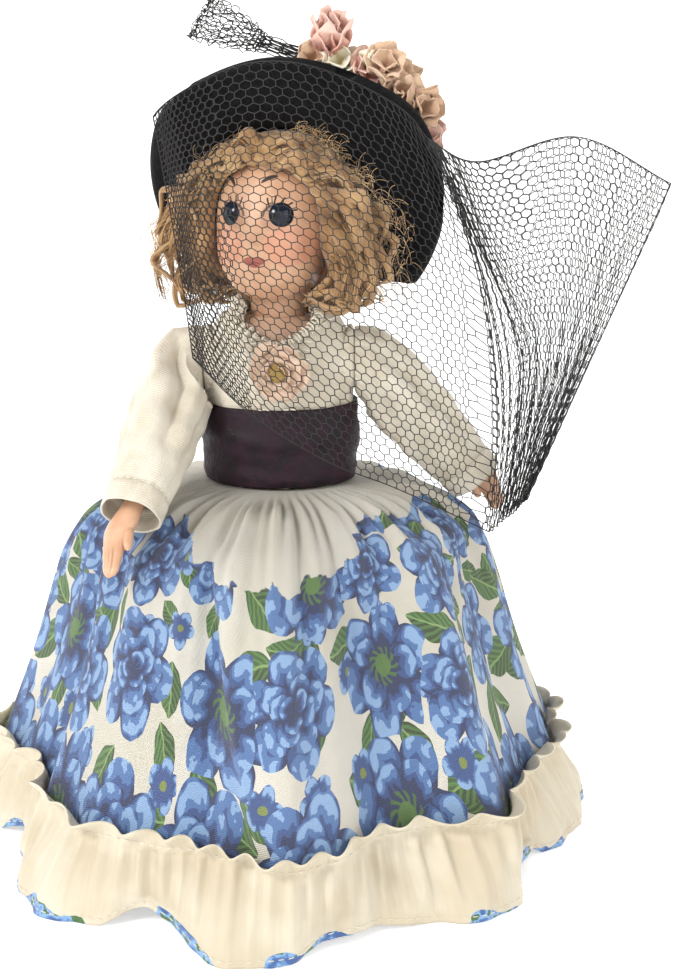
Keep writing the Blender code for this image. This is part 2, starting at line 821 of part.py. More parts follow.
def make_blossoms(hat_frame, looks):
    """The cloth flowers behind the brim, and the wire along which they sit."""
    outwards = math.radians(-70)
    low = 2 * RIM_ROLL
    seats = [brim_place(BLOSSOM_START, HAT_RADIUS * STEM_SHARE, STEM_RADIUS + GAP)]
    for name, radius, petals, look, out, behind, degrees_round in (
        ("pink_blossom", BLOSSOM_RADIUS, 6, "pink", 0.3, 1.0, 15),
        ("ivory_bud", BUD_RADIUS, 0, "ivory", 1.6, 1.4, 29),
        ("cloth_rose", ROSE_RADIUS, 5, "peach", -0.3, 1.5, 42),
        ("pink_petals", SMALL_PETAL_RADIUS, 4, "pink", -0.9, 1.3, 60),
        ("tan_petal", SMALL_PETAL_RADIUS, 3, "tan", -0.9, 1.3, 75),
    ):
        reach = HAT_RADIUS + radius * out
        depth = low + radius * behind
        if petals:
            flower = ruffled_cup(name, radius, petals, 0.75, looks[look], hat_frame, 0.2)
            under = PETAL + STEM_RADIUS + GAP
        else:
            flower = ball(name, radius, 10, 8, looks[look], hat_frame)
            under = radius + STEM_RADIUS + GAP
        flower.location = brim_place(degrees_round, reach, depth)
        turn = Matrix.Rotation(math.radians(-degrees_round), 3, "Z")
        flower.rotation_euler = (turn @ Matrix.Rotation(outwards, 3, "X")).to_euler()
        seats.append(brim_place(degrees_round, reach - under, depth))
    seats.append(brim_place(BLOSSOM_END, HAT_RADIUS * STEM_SHARE, STEM_RADIUS + GAP))
    wire("blossom_wire", seats, STEM_RADIUS, looks["stem"], hat_frame)


def make_cap(neck, looks):
    """The lower doll's cloth cap, cut flat where the doll stands on it."""
    centre = Vector((0.0, 0.0, HEAD_CENTRE - TORSO_HEIGHT + NECK_SEAT_DEPTH))
    top = CAP_HEIGHT - TORSO_HEIGHT + NECK_SEAT_DEPTH
    count = facets("lower", 24)
    rows = [[Vector((0.0, 0.0, top))]]
    for degrees in (11, 30, 49, 66, 80):
        row = []
        for i in range(count):
            way = polar(math.radians(degrees), math.tau * i / count)
            flare = CAP_CLOTH * 2.0 * smooth_step((degrees - 60) / 20)
            point = centre + way * (short_hair(way) + 2 * GAP + CAP_CLOTH + flare)
            point.z = min(point.z, top)
            row.append(point)
        rows.append(row)
    cap = add_object("lower_cap", rows_mesh("cap", rows), looks["cap"], neck)
    add_wall(cap, CAP_CLOTH - GAP)


# Arms


def arm_points(sign, hand):
    """The middle line of an arm, from its flat shoulder to the fingertips."""
    start = Vector((sign * arm_face(), 0.0, 0.0))
    knee = start + Vector((sign * SHOULDER_RADIUS, 0.0, 0.0))
    points = [start]
    for share in (0.25, 0.5, 0.75):
        points.append(start.lerp(knee, share).lerp(knee.lerp(hand, 0.12), share))
    for share in (0.14, 0.30, 0.48, 0.64, 0.76, 0.84, 0.93, 1.0):
        points.append(knee.lerp(hand, share))
    return points


def make_arm(side, name, sign, pivot, hand, looks):
    points = arm_points(sign, hand)
    sizes = ((1.0, 0), (1.0, 0), (1.0, 0), (0.95, 0), (0.86, 0), (0.72, 0.1), (0.60, 0.4))
    widths = [blend(SHOULDER_RADIUS, WRIST_RADIUS, b) * a for a, b in sizes]
    depths = list(widths)
    widths += [WRIST_RADIUS * 1.05, WRIST_RADIUS, PALM_HALF_WIDTH * 0.9, PALM_HALF_WIDTH]
    depths += [WRIST_RADIUS, WRIST_RADIUS * 0.9, PALM_HALF_THICKNESS, PALM_HALF_THICKNESS]
    widths.append(PALM_HALF_WIDTH * 0.45)
    depths.append(PALM_HALF_THICKNESS * 0.5)
    normals = path_normals(points, Vector((sign, 0.0, 0.0)))
    rows = path_rings(points, widths, depths, facets(side, 12), normals)
    mesh = rows_mesh("arm", rows, cap_ends=True)
    add_object(f"{side}_{name}_arm", mesh, looks["skin"], pivot)


def make_sleeve(side, name, sign, pivot, hand, looks, beyond):
    """The wide sleeve, open at the armhole and at the cuff."""
    side_way = Vector((sign, 0.0, 0.0))
    start = side_way * arm_face()
    lean = (hand - start - side_way * SHOULDER_RADIUS).normalized()
    cuff = hand - lean * beyond
    normals = [side_way, (side_way * 0.65 + lean * 0.35).normalized()]
    clear = SLEEVE_RADIUS * math.sqrt(1.0 - normals[1].x ** 2)
    puff = start + side_way * (clear + GAP) + lean * SLEEVE_RADIUS * 0.3
    points = [start, puff]
    widths = [SLEEVE_RADIUS * 0.86, SLEEVE_RADIUS]
    for share, size in ((0.36, 1.04), (0.58, 1.0), (0.80, 0.92), (1.0, 0.0)):
        points.append(puff.lerp(cuff, share))
        widths.append(blend(CUFF_RADIUS, SLEEVE_RADIUS * size, min(1.0, 9 * size)))
        normals.append(lean)

    def folds(angle):
        return 0.035 * math.cos(5 * angle)

    rows = path_rings(points, widths, widths, facets(side, 14), normals, folds)
    sleeve = add_object(f"{side}_{name}_sleeve", rows_mesh("sleeve", rows), looks["blouse"], pivot)
    add_wall(sleeve, SLEEVE_CLOTH)


def make_arm_hook(side, name, sign, pivot, band_end, looks):
    """The pin on the arm's flat shoulder that the band pulls on."""
    face = arm_face() - GAP
    end = band_end + GAP
    head = 1.6 * HOOK_RADIUS
    outline = (
        (0.0, face),
        (head, face),
        (head, face - HOOK_RADIUS * 0.4),
        (HOOK_RADIUS, face - HOOK_RADIUS * 0.6),
        (HOOK_RADIUS, end + HOOK_RADIUS),
        (head, end + HOOK_RADIUS * 0.7),
        (head, end),
        (0.0, end),
    )
    turn = (0.0, sign * math.pi / 2, 0.0)
    turned(f"{side}_{name}_arm_hook", outline, looks["steel"], pivot, 8, turn)


# Skirt and hem


def skirt_profile(inwards):
    """(radius, height, share down) of the skirt, moved inwards along its own normal."""
    start_radius = WAIST_HALF_WIDTH + GAP + CLOTH
    top = WAIST + CLOTH + GAP
    bottom = RUFFLE_HEIGHT - RUFFLE_OVERLAP
    points = []
    for out, down in SKIRT_SHARES:
        radius = blend(start_radius, SKIRT_RADIUS, out)
        points.append(Vector((radius, blend(top, bottom, down), down)))
    moved = []
    for i, point in enumerate(points):
        along = points[min(i + 1, len(points) - 1)] - points[max(i - 1, 0)]
        normal = Vector((along.y, -along.x)).normalized()
        if i == 0:
            normal = Vector((0.0, -1.0))
        moved.append((point.x + normal.x * inwards, point.y + normal.y * inwards, point.z))
    return moved


def fold_wave(angle):
    return sum(size * math.cos(count * angle + phase) for count, size, phase in FOLD_SHARES)


def skirt_row(radius, height, fold, squash, count):
    """One ring of the skirt: as deep as the waist at the top, and round below."""
    depth = blend(WAIST_HALF_DEPTH / WAIST_HALF_WIDTH, 1.0, squash)
    row = []
    for i in range(count):
        angle = math.tau * i / count
        reach = radius + fold * fold_wave(angle)
        row.append(Vector((reach * math.sin(angle), -reach * math.cos(angle) * depth, height)))
    return row


def make_skirt(name, inwards, extra, look):
    count = SKIRT_FACETS
    rows = []
    profile = skirt_profile(inwards)
    for i, (radius, height, down) in enumerate(profile):
        squash = smooth_step(2.2 * i / len(profile))
        fold = SKIRT_FOLD * smooth_step(1.6 * i / len(profile) - 0.15)
        rows.append(skirt_row(radius, height, fold, squash, count))
    if extra:
        radius = profile[-1][0]
        rows.append(skirt_row(radius, INNER_HEM_RAISE, SKIRT_FOLD, 1.0, count))
    skirt = add_object(name, rows_mesh(name, rows), look)
    add_wall(skirt, CLOTH)


def ruffle_wave(angle):
    return math.cos(9 * angle + 0.6) * 0.7 + math.cos(14 * angle + 2.0) * 0.3


def make_ruffle(looks):
    """The gathered satin ruffle that is sewn round the skirt and reaches the floor."""
    count = 2 * SKIRT_FACETS
    header = CLOTH + GAP
    rows = []
    for share, wave in ((0.0, 0.5), (0.14, 0.0), (0.55, 0.6), (1.0, 1.0)):
        row = []
        for i in range(count):
            angle = math.tau * i / count
            base = SKIRT_RADIUS + SKIRT_FOLD * fold_wave(angle)
            rim = HEM_RADIUS + SKIRT_FOLD * fold_wave(angle)
            swing = ruffle_wave(angle)
            stand = header if share else 2 * header
            reach = blend(base + stand, rim, smooth_step(share * 1.1)) + RUFFLE_WAVE * wave * max(
                swing, -0.6 if share > 0.3 else 0.0
            )
            height = RUFFLE_HEIGHT * (1.0 - share)
            if share == 1.0:
                height = max(-FLOOR_FLAT, -RUFFLE_LIFT * swing - FLOOR_FLAT)
            row.append(Vector((reach * math.sin(angle), -reach * math.cos(angle), height)))
        rows.append(row)
    ruffle = add_object("hem_ruffle", rows_mesh("ruffle", rows), looks["satin"])
    add_wall(ruffle, CLOTH)
    reach = 2 * (HEM_RADIUS + SKIRT_FOLD + RUFFLE_WAVE + OVERRUN)
    floor = box_cutter("hem_floor", (reach, reach, OVERRUN), None)
    floor.location.z = -OVERRUN / 2
    boolean(ruffle, floor, "DIFFERENCE")


# Veil


def veil_point(shares):
    """A place near the doll, in hat radii sideways and back, and in head heights above the waist."""
    x, y, z = shares
    return Vector((x * HAT_RADIUS, y * HAT_RADIUS, WAIST + z * HEAD_CENTRE))


def front_column(hat_matrix, along):
    """The start, the bulge and the foot of one thread of net that hangs from the brim."""
    turn, foot_x, foot_y, foot_z, out_x, out_y = interpolate(VEIL_FRONT_SHARES, along)
    around = turn * math.pi / 2
    stand = FELT + 2 * NET_THICKNESS + 3 * GAP
    way = Vector((math.sin(around), math.cos(around), 0.0))
    top = hat_matrix @ (way * (HAT_RADIUS + FELT + GAP) + Vector((0.0, 0.0, stand)))
    foot = veil_point((foot_x, foot_y, foot_z))
    bulge = (top + foot) / 2 + Vector((out_x, out_y, 0.0)) * HAT_RADIUS
    return top, bulge, foot


def veil_column(hat_matrix, along):
    """Front threads for 0 to 1, then the flared tail beside the left sleeve for 1 to 2."""
    if along <= 1.0:
        return front_column(hat_matrix, along)
    first = front_column(hat_matrix, 1.0)
    marks = [(1.0, *first)]
    for mark in VEIL_TAIL_SHARES:
        marks.append((mark[0], *[veil_point(mark[k : k + 3]) for k in (1, 4, 7)]))
    return interpolate(marks, along)


def make_veil(hat_matrix, looks):
    """The tulle veil, as an open net: each cell of the draped grid keeps only its strands."""
    columns = 8
    tail_columns = 3
    drops = 6
    mesh = bpy.data.meshes.new("veil")
    bm = bmesh.new()
    rows = []
    for j in range(drops + 1):
        t = j / drops
        row = []
        for i in range(columns + tail_columns + 1):
            along = i / columns if i <= columns else 1.0 + (i - columns) / tail_columns
            top, bulge, foot = veil_column(hat_matrix, along)
            row.append(bm.verts.new(top.lerp(bulge, t).lerp(bulge.lerp(foot, t), t)))
        rows.append(row)
    for upper, lower in zip(rows, rows[1:]):
        for i in range(len(upper) - 1):
            bm.faces.new([upper[i], lower[i], lower[i + 1], upper[i + 1]])
    bmesh.ops.recalc_face_normals(bm, faces=bm.faces)
    cells = list(bm.faces)
    bmesh.ops.inset_individual(bm, faces=cells, thickness=NET_STRAND, use_even_offset=True)
    bmesh.ops.delete(bm, geom=cells, context="FACES_ONLY")
    bm.to_mesh(mesh)
    bm.free()
    veil = add_object("veil", mesh, looks["net"])
    add_wall(veil, NET_THICKNESS)


def make_half(side, frame, looks, closed_eyes, turn, hands):
    """One half doll in its waist frame: torso, clothes, head, eyes and arms."""
    make_torso(side, frame, looks)
    edge = make_blouse(side, frame, looks)
    make_sash(side, frame, looks)
    band_end = make_arm_band(side, frame, looks)
    make_neck_hook(side, frame, looks)
    place = (0.0, 0.0, TORSO_HEIGHT - NECK_SEAT_DEPTH)
    neck = make_empty(side + "_neck", place, (0.0, 0.0, turn), frame)
    make_head(side, neck, looks)
    make_neck_washer(side, neck, looks)
    make_eyes(side, neck, looks, closed_eyes)
    shoulder = make_empty(side + "_shoulders", (0.0, 0.0, SHOULDER_HEIGHT), parent=frame)
    for name, sign, hand, beyond in hands:
        pivot = make_empty(f"{side}_{name}_shoulder", (0.0, 0.0, 0.0), parent=shoulder)
        make_arm(side, name, sign, pivot, hand, looks)
        make_sleeve(side, name, sign, pivot, hand, looks, beyond)
        make_arm_hook(side, name, sign, pivot, band_end, looks)
    return neck, edge


def make_looks():
    """One Principled material for each finish."""
    return {
        "plastic": make_material("body_plastic", (0.62, 0.42, 0.30), 0.45),
        "skin": make_material("face_plastic", (0.60, 0.34, 0.22), 0.35),
        "eye": make_material("eye_glass", (0.010, 0.012, 0.030), 0.08),
        "lead": make_material("lead", (0.20, 0.20, 0.22), 0.55, 1.0),
        "steel": make_material("steel_wire", (0.50, 0.50, 0.50), 0.35, 1.0),
        "elastic": make_material("elastic", (0.75, 0.66, 0.48), 0.80),
        "wood": make_material("plug_wood", (0.52, 0.36, 0.20), 0.65),
        "hair": make_material("mohair", (0.40, 0.23, 0.11), 0.70),
        "felt": make_material("black_felt", (0.012, 0.012, 0.012), 0.95),
        "blouse": make_material("ivory_crepe", (0.72, 0.66, 0.54), 0.75),
        "lace": make_material("ivory_lace", (0.80, 0.74, 0.62), 0.80),
        "organza": make_material("peach_organza", (0.74, 0.45, 0.30), 0.70),
        "knot": make_material("yellow_knot", (0.62, 0.46, 0.16), 0.70),
        "sash": make_material("aubergine_satin", (0.020, 0.008, 0.014), 0.45),
        "print": make_material("printed_faille", (0.30, 0.40, 0.62), 0.70),
        "lining": make_material("inner_print", (0.42, 0.50, 0.66), 0.70),
        "satin": make_material("cream_satin", (0.80, 0.72, 0.56), 0.45),
        "cap": make_material("cap_cotton", (0.66, 0.66, 0.72), 0.80),
        "pink": make_material("pink_cloth", (0.76, 0.40, 0.32), 0.75),
        "peach": make_material("peach_cloth", (0.66, 0.44, 0.28), 0.75),
        "tan": make_material("tan_cloth", (0.42, 0.26, 0.15), 0.75),
        "ivory": make_material("ivory_cloth", (0.74, 0.66, 0.46), 0.75),
        "stem": make_material("flower_wire", (0.36, 0.28, 0.10), 0.60),
        "net": make_material("black_tulle", (0.012, 0.012, 0.012), 0.85),
    }


# Where the fingertips are, from the shoulder line, each chosen for its own arm
RIGHT_HAND = Vector((-0.0400, -0.0488, -0.0448))
LEFT_HAND = Vector((0.0600, 0.0040, -0.0420))
LOWER_HAND_OUT = 0.0420
LOWER_HAND_FORWARD = 0.0290
LOWER_HAND_REACH = 0.0450


def main():
    clear_scene()
    make_collection(PARTS)
    make_collection(CUTTERS)
    looks = make_looks()
    upper = make_empty("upper_waist", (0.0, 0.0, WAIST))
    lower = make_empty("lower_waist", (0.0, 0.0, WAIST), (0.0, math.pi, 0.0))
    hands = (
        ("right", -1, RIGHT_HAND, REACHING_HAND_BEYOND_CUFF),
        ("left", 1, LEFT_HAND, HAND_BEYOND_CUFF),
    )
    neck, edge = make_half("upper", upper, looks, False, HEAD_TURN, hands)
    make_lace(upper, edge, looks)
    make_throat_flower(upper, looks)
    make_wig("upper", neck, looks, long_hair, (42, 58, 138))
    hat_frame = make_hat_frame(neck)
    make_hat(hat_frame, looks)
    make_blossoms(hat_frame, looks)
    bpy.context.view_layer.update()
    make_veil(hat_frame.matrix_world, looks)
    hanging = []
    for name, sign in (("right", -1), ("left", 1)):
        hand = Vector((sign * LOWER_HAND_OUT, -LOWER_HAND_FORWARD, LOWER_HAND_REACH))
        hanging.append((name, sign, hand, HAND_BEYOND_CUFF))
    lower_neck, _ = make_half("lower", lower, looks, True, 0.0, hanging)
    make_wig("lower", lower_neck, looks, short_hair, (48, 66, 138))
    make_cap(lower_neck, looks)
    make_waist_plug(upper, looks)
    make_skirt("outer_skirt", 0.0, False, looks["print"])
    make_skirt("inner_skirt", CLOTH + GAP, True, looks["lining"])
    make_ruffle(looks)
    bpy.context.view_layer.update()


main()
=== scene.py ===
# %% [markdown]
# # A topsy turvy doll, dressed
# Two half dolls share one skirt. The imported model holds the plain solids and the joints; here each
# of them gets its fine shape and its cloth, felt, hair or painted plastic. All lengths are metres.
# The doll faces -Y, so its left hand is on +X.

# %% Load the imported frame
import math
import random

import bmesh
import bpy
from mathutils import Matrix, Vector, noise


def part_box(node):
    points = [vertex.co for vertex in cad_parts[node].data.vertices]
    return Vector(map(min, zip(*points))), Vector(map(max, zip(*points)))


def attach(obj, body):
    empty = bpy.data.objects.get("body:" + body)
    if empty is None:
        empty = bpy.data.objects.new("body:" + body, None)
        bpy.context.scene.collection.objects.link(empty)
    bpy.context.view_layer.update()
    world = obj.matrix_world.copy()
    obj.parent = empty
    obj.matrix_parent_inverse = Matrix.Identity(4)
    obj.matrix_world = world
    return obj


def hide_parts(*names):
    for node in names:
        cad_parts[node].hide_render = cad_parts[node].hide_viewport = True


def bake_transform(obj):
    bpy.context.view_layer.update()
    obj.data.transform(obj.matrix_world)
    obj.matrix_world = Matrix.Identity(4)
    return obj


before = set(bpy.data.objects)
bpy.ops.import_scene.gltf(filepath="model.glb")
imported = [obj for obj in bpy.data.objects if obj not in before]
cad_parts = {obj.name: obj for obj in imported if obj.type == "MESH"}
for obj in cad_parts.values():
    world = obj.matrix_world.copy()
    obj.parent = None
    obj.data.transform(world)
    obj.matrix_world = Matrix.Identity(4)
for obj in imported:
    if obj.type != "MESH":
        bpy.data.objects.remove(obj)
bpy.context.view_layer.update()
MM = 0.001
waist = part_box("upper_torso")[0].z - 0.3 * MM
print("waist height", round(waist, 5))

# %% [markdown]
# ## Shader sums
# A pattern is easiest to read as a sum, such as `petals * 0.5 + grain`. This class wraps one socket
# and turns each Python operator into a Math node. The maker below adds every other node.

# %% Sums on sockets


class Field:
    """One output socket that can be used in sums."""

    def __init__(self, finish, socket):
        self.finish = finish
        self.socket = socket

    def maths(self, operation, *others):
        inputs = dict(enumerate((self, *others)))
        return self.finish.node("ShaderNodeMath", {"operation": operation}, inputs)

    def __add__(self, other):
        return self.maths("ADD", other)

    def __mul__(self, other):
        return self.maths("MULTIPLY", other)

    def __sub__(self, other):
        return self.maths("SUBTRACT", other)

    def __rsub__(self, other):
        return (self * -1.0) + other

    def __truediv__(self, other):
        return self.maths("DIVIDE", other)

    def __pow__(self, other):
        return self.maths("POWER", other)

    def __lt__(self, other):
        return self.maths("LESS_THAN", other)

    def __gt__(self, other):
        return self.maths("GREATER_THAN", other)

    __radd__ = __add__
    __rmul__ = __mul__

    def sine(self):
        return self.maths("SINE")

    def size(self):
        return self.maths("ABSOLUTE")

    def fraction(self):
        return self.maths("FRACT")

    def ramp(self, low, high, bottom=0.0, top=1.0):
        """A smooth step from low to high."""
        settings = {"interpolation_type": "SMOOTHSTEP"}
        inputs = {0: self, 1: low, 2: high, 3: bottom, 4: top}
        return self.finish.node("ShaderNodeMapRange", settings, inputs)


class Finish:
    """A material with a Principled shader, and the nodes that feed it."""

    def __init__(self, name, **constants):
        self.material = bpy.data.materials.new(name)
        self.material.use_nodes = True
        self.tree = self.material.node_tree
        self.shader = self.tree.nodes["Principled BSDF"]
        for words, value in constants.items():
            self.shader.inputs[words.replace("_", " ")].default_value = value

    def node(self, kind, settings=None, inputs=None, output=0):
        """Any node, from its type, its settings, and its sockets' values or links."""
        made = self.tree.nodes.new(kind)
        for word, value in (settings or {}).items():
            if word == "stops":
                while len(made.color_ramp.elements) < len(value):
                    made.color_ramp.elements.new(1.0)
                for stop, (at, colour) in zip(made.color_ramp.elements, value):
                    stop.position = at
                    stop.color = (*colour, 1.0)
            else:
                setattr(made, word, value)
        for socket, value in (inputs or {}).items():
            self.plug(made.inputs[socket], value)
        return Field(self, made.outputs[output])

    def plug(self, socket, value):
        if isinstance(value, Field):
            self.tree.links.new(value.socket, socket)
        elif isinstance(value, tuple) and len(value) == 3 and socket.type == "RGBA":
            socket.default_value = (*value, 1.0)
        else:
            socket.default_value = value

    def feed(self, **values):
        for words, value in values.items():
            self.plug(self.shader.inputs[words.replace("_", " ")], value)
        return self

    def at(self, source="Object", scale=(1.0, 1.0, 1.0), turn=(0.0, 0.0, 0.0), move=(0.0, 0.0, 0.0)):
        """The place on the piece: its Object or UV coordinates, turned, scaled and moved."""
        place = self.node("ShaderNodeTexCoord", output=source)
        inputs = {"Vector": place, "Location": move, "Rotation": turn, "Scale": scale}
        return self.node("ShaderNodeMapping", None, inputs)

    def split(self, place):
        made = self.node("ShaderNodeSeparateXYZ", None, {0: place}).socket.node
        return [Field(self, socket) for socket in made.outputs]

    def noise(self, place, scale, detail=2.0, roughness=0.5):
        inputs = {"Vector": place, "Scale": scale, "Detail": detail, "Roughness": roughness}
        return self.node("ShaderNodeTexNoise", None, inputs)

    def mix(self, factor, below, above):
        settings = {"data_type": "RGBA"}
        return self.node("ShaderNodeMix", settings, {0: factor, 6: below, 7: above}, 2)

    def colours(self, factor, *stops):
        return self.node("ShaderNodeValToRGB", {"stops": stops}, {0: factor})

    def inks(self, factor, *stops):
        """Flat steps of colour, as in a screen print."""
        found = self.colours(factor, *stops)
        found.socket.node.color_ramp.interpolation = "CONSTANT"
        return found

    def bump(self, height, depth, strength=1.0):
        inputs = {"Height": height, "Distance": depth, "Strength": strength}
        return self.feed(Normal=self.node("ShaderNodeBump", None, inputs))


# %% [markdown]
# ## Camera, floor and light
# The photograph was taken from a little above the skirt, close to the doll, so the hem bulges
# towards the lens. A camera 0.42 m away at 15 degrees gives the same frame. Three large soft lamps
# and a pale world give the even light of a product picture.

# %% Camera, floor and lamps


def stand_camera():
    camera = bpy.data.cameras.new("camera")
    camera.sensor_fit = "VERTICAL"
    camera.sensor_height = 36.0
    camera.lens = 57.8
    camera.clip_start = 0.01
    holder = bpy.data.objects.new("camera", camera)
    bpy.context.scene.collection.objects.link(holder)
    aim = Vector((0.0153, 0.0, 0.092))
    away = Vector((0.0, -math.cos(math.radians(15)), math.sin(math.radians(15))))
    holder.location = aim + away * 0.42
    holder.rotation_euler = (math.radians(75), 0.0, 0.0)
    bpy.context.scene.camera = holder


def hang_lamp(name, place, size, watts):
    lamp = bpy.data.lights.new(name, "AREA")
    lamp.size = size
    lamp.energy = watts
    holder = bpy.data.objects.new(name, lamp)
    bpy.context.scene.collection.objects.link(holder)
    holder.location = place
    holder.rotation_euler = (Vector((0.0, 0.0, 0.09)) - Vector(place)).to_track_quat("-Z", "Y").to_euler()


def lay_floor():
    """A wide white dish: flat under the doll, and curved up far away so that no horizon shows."""
    finish = Finish("floor_paper", Roughness=0.9, Emission_Color=(1.0, 1.0, 1.0, 1.0), Emission_Strength=0.48)
    grain = finish.noise(finish.at(), 40.0)
    finish.feed(Base_Color=finish.mix(grain, (0.86, 0.86, 0.855), (0.90, 0.90, 0.895)))
    many = 64
    rows = ((0.4, 0.0), (1.0, 0.0), (1.2, 0.03), (1.36, 0.12), (1.46, 0.30), (1.5, 0.60), (1.5, 1.2))
    bm = bmesh.new()
    last = [bm.verts.new((0.0, 0.0, 0.0))] * many
    for reach, height in rows:
        turns = [math.tau * i / many for i in range(many)]
        ring = [bm.verts.new((reach * math.cos(a), reach * math.sin(a), height)) for a in turns]
        for i in range(many):
            k = (i + 1) % many
            corners = [last[i], ring[i], ring[k], last[k]]
            bm.faces.new(corners[:3] if last[i] == last[k] else corners)
        last = ring
    mesh = bpy.data.meshes.new("floor")
    bm.to_mesh(mesh)
    bm.free()
    mesh.shade_smooth()
    mesh.materials.append(finish.material)
    floor = bpy.data.objects.new("floor", mesh)
    bpy.context.scene.collection.objects.link(floor)


def light_world():
    world = bpy.data.worlds.new("soft_room")
    world.use_nodes = True
    background = world.node_tree.nodes["Background"]
    background.inputs["Color"].default_value = (1.0, 1.0, 1.0, 1.0)
    background.inputs["Strength"].default_value = 0.54
    bpy.context.scene.world = world
    bpy.context.scene.view_settings.view_transform = "Standard"


stand_camera()
lay_floor()
light_world()
hang_lamp("key", (-0.55, -0.50, 0.60), 0.25, 5.2)
hang_lamp("fill", (0.65, -0.50, 0.35), 0.6, 1.2)
hang_lamp("top", (0.10, 0.35, 0.85), 0.5, 2.2)

# %% [markdown]
# ## Helpers for soft shapes
# Most pieces are one sheet through rows of points, such as the rings of a skirt. Each sheet keeps a
# UV map in real metres of cloth, so that a weave or a print has its true size and is drawn together
# where the cloth is gathered.

# %% Sheets, threads and places


def between(low, high, share):
    return low + (high - low) * share


def smooth(value, low=0.0, high=1.0):
    value = min(max((value - low) / (high - low), 0.0), 1.0)
    return value * value * (3.0 - 2.0 * value)


def sampled(table, at):
    """The other columns of a table at a value of its first column, on smooth curves."""
    last = len(table) - 1
    for i in range(last):
        if at <= table[i + 1][0] or i == last - 1:
            before, a, b, after = table[max(i - 1, 0)], table[i], table[i + 1], table[min(i + 2, last)]
            share = min(max((at - a[0]) / (b[0] - a[0]), 0.0), 1.0)
            found = []
            for p, q, r, s in zip(before[1:], a[1:], b[1:], after[1:]):
                start = (r - p) * 0.5 if i > 0 else r - q
                stop = (s - q) * 0.5 if i < last - 1 else r - q
                curve = q * (2 * share**3 - 3 * share**2 + 1) + r * (3 * share**2 - 2 * share**3)
                found.append(curve + start * (share**3 - 2 * share**2 + share) + stop * (share**3 - share**2))
            return found


def sheet_piece(name, rows, finish, body, uv=None, closed=True, wall=0.0, flip=False):
    """A piece through rows of points. A row of one point closes to a pole."""
    verts = [point for row in rows for point in row]
    starts = [0]
    for row in rows:
        starts.append(starts[-1] + len(row))
    faces = []
    marks = []
    for j in range(len(rows) - 1):
        wide = max(len(rows[j]), len(rows[j + 1]))
        for i in range(wide if closed else wide - 1):
            corners = []
            for row, column in ((j, i), (j + 1, i), (j + 1, i + 1), (j, i + 1)):
                many = len(rows[row])
                vert = starts[row] + (column % many if many > 1 else 0)
                if vert not in [corner[0] for corner in corners]:
                    corners.append((vert, row, column))
            faces.append([corner[0] for corner in corners])
            marks.append([(corner[1], corner[2]) for corner in corners])
    mesh = bpy.data.meshes.new(name)
    mesh.from_pydata([tuple(v) for v in verts], [], faces)
    if uv:
        layer = mesh.uv_layers.new(name="cloth")
        spots = [spot for face in marks for spot in face]
        for loop, (row, column) in zip(layer.data, spots):
            loop.uv = uv(row, column)
    if flip:
        mesh.flip_normals()
    return finished(name, mesh, finish, body, wall)


def finished(name, mesh, finish, body, wall=0.0):
    """Links a mesh as a smooth piece that rides on a body, with a wall inwards if one is asked for."""
    mesh.shade_smooth()
    mesh.materials.append(finish.material)
    piece = bpy.data.objects.new(name, mesh)
    bpy.context.scene.collection.objects.link(piece)
    if wall:
        thick = piece.modifiers.new("wall", "SOLIDIFY")
        thick.thickness = wall
        thick.offset = -1.0
    if body:
        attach(piece, body)
    return piece


def patches_piece(name, patches, finish, body, wall):
    """Many small sheets as one piece. Their UV map runs across and outwards from 0 to 1."""
    verts = []
    faces = []
    spots = []
    for rows in patches:
        first = len(verts)
        many = len(rows[0])
        verts += [point for row in rows for point in row]
        for j in range(len(rows) - 1):
            for i in range(many - 1):
                corners = ((j, i), (j, i + 1), (j + 1, i + 1), (j + 1, i))
                faces.append([first + row * many + column for row, column in corners])
                spots += [(column / (many - 1), row / (len(rows) - 1)) for row, column in corners]
    mesh = bpy.data.meshes.new(name)
    mesh.from_pydata([tuple(v) for v in verts], [], faces)
    layer = mesh.uv_layers.new(name="cloth")
    for loop, spot in zip(layer.data, spots):
        loop.uv = spot
    return finished(name, mesh, finish, body, wall)


def tube_points(middle, way, radius, count, phase=0.0, wide=1.0):
    """A ring of points square to a direction."""
    side = Vector((0.0, 0.0, 1.0)).cross(way)
    side = side.normalized() if side.length > 0.01 else Vector((1.0, 0.0, 0.0))
    up = way.cross(side).normalized()
    turns = [math.tau * i / count + phase for i in range(count)]
    return [middle + side * math.cos(a) * radius + up * math.sin(a) * radius * wide for a in turns]


def moved(matrix, rows):
    return [[matrix @ point for point in row] for row in rows]


upper = Matrix.Translation((0.0, 0.0, waist))
lower = upper @ Matrix.Rotation(math.pi, 4, "Y")
neck_rise = 42.0 * MM
head_turn = math.radians(-19)
upper_neck = upper @ Matrix.Translation((0.0, 0.0, neck_rise)) @ Matrix.Rotation(head_turn, 4, "Z")
lower_neck = lower @ Matrix.Translation((0.0, 0.0, neck_rise))
head_middle = Vector((0.0, 0.0, 27.0 * MM))
hat_tilt = math.radians(16)
hat_place = upper_neck @ Matrix.Translation(head_middle + Vector((2.4, 4.0, 7.8)) * MM)
hat_place = hat_place @ Matrix.Rotation(math.pi / 2 + hat_tilt, 4, "X")

# %% [markdown]
# ## Threads, stitches and rings
# Net, hair, stitches and picots all repeat along lines. One Geometry Nodes tree turns a web of
# edges into fine tubes, and another sets a small ring or dash at even steps along an edge.

# %% Geometry Nodes trees


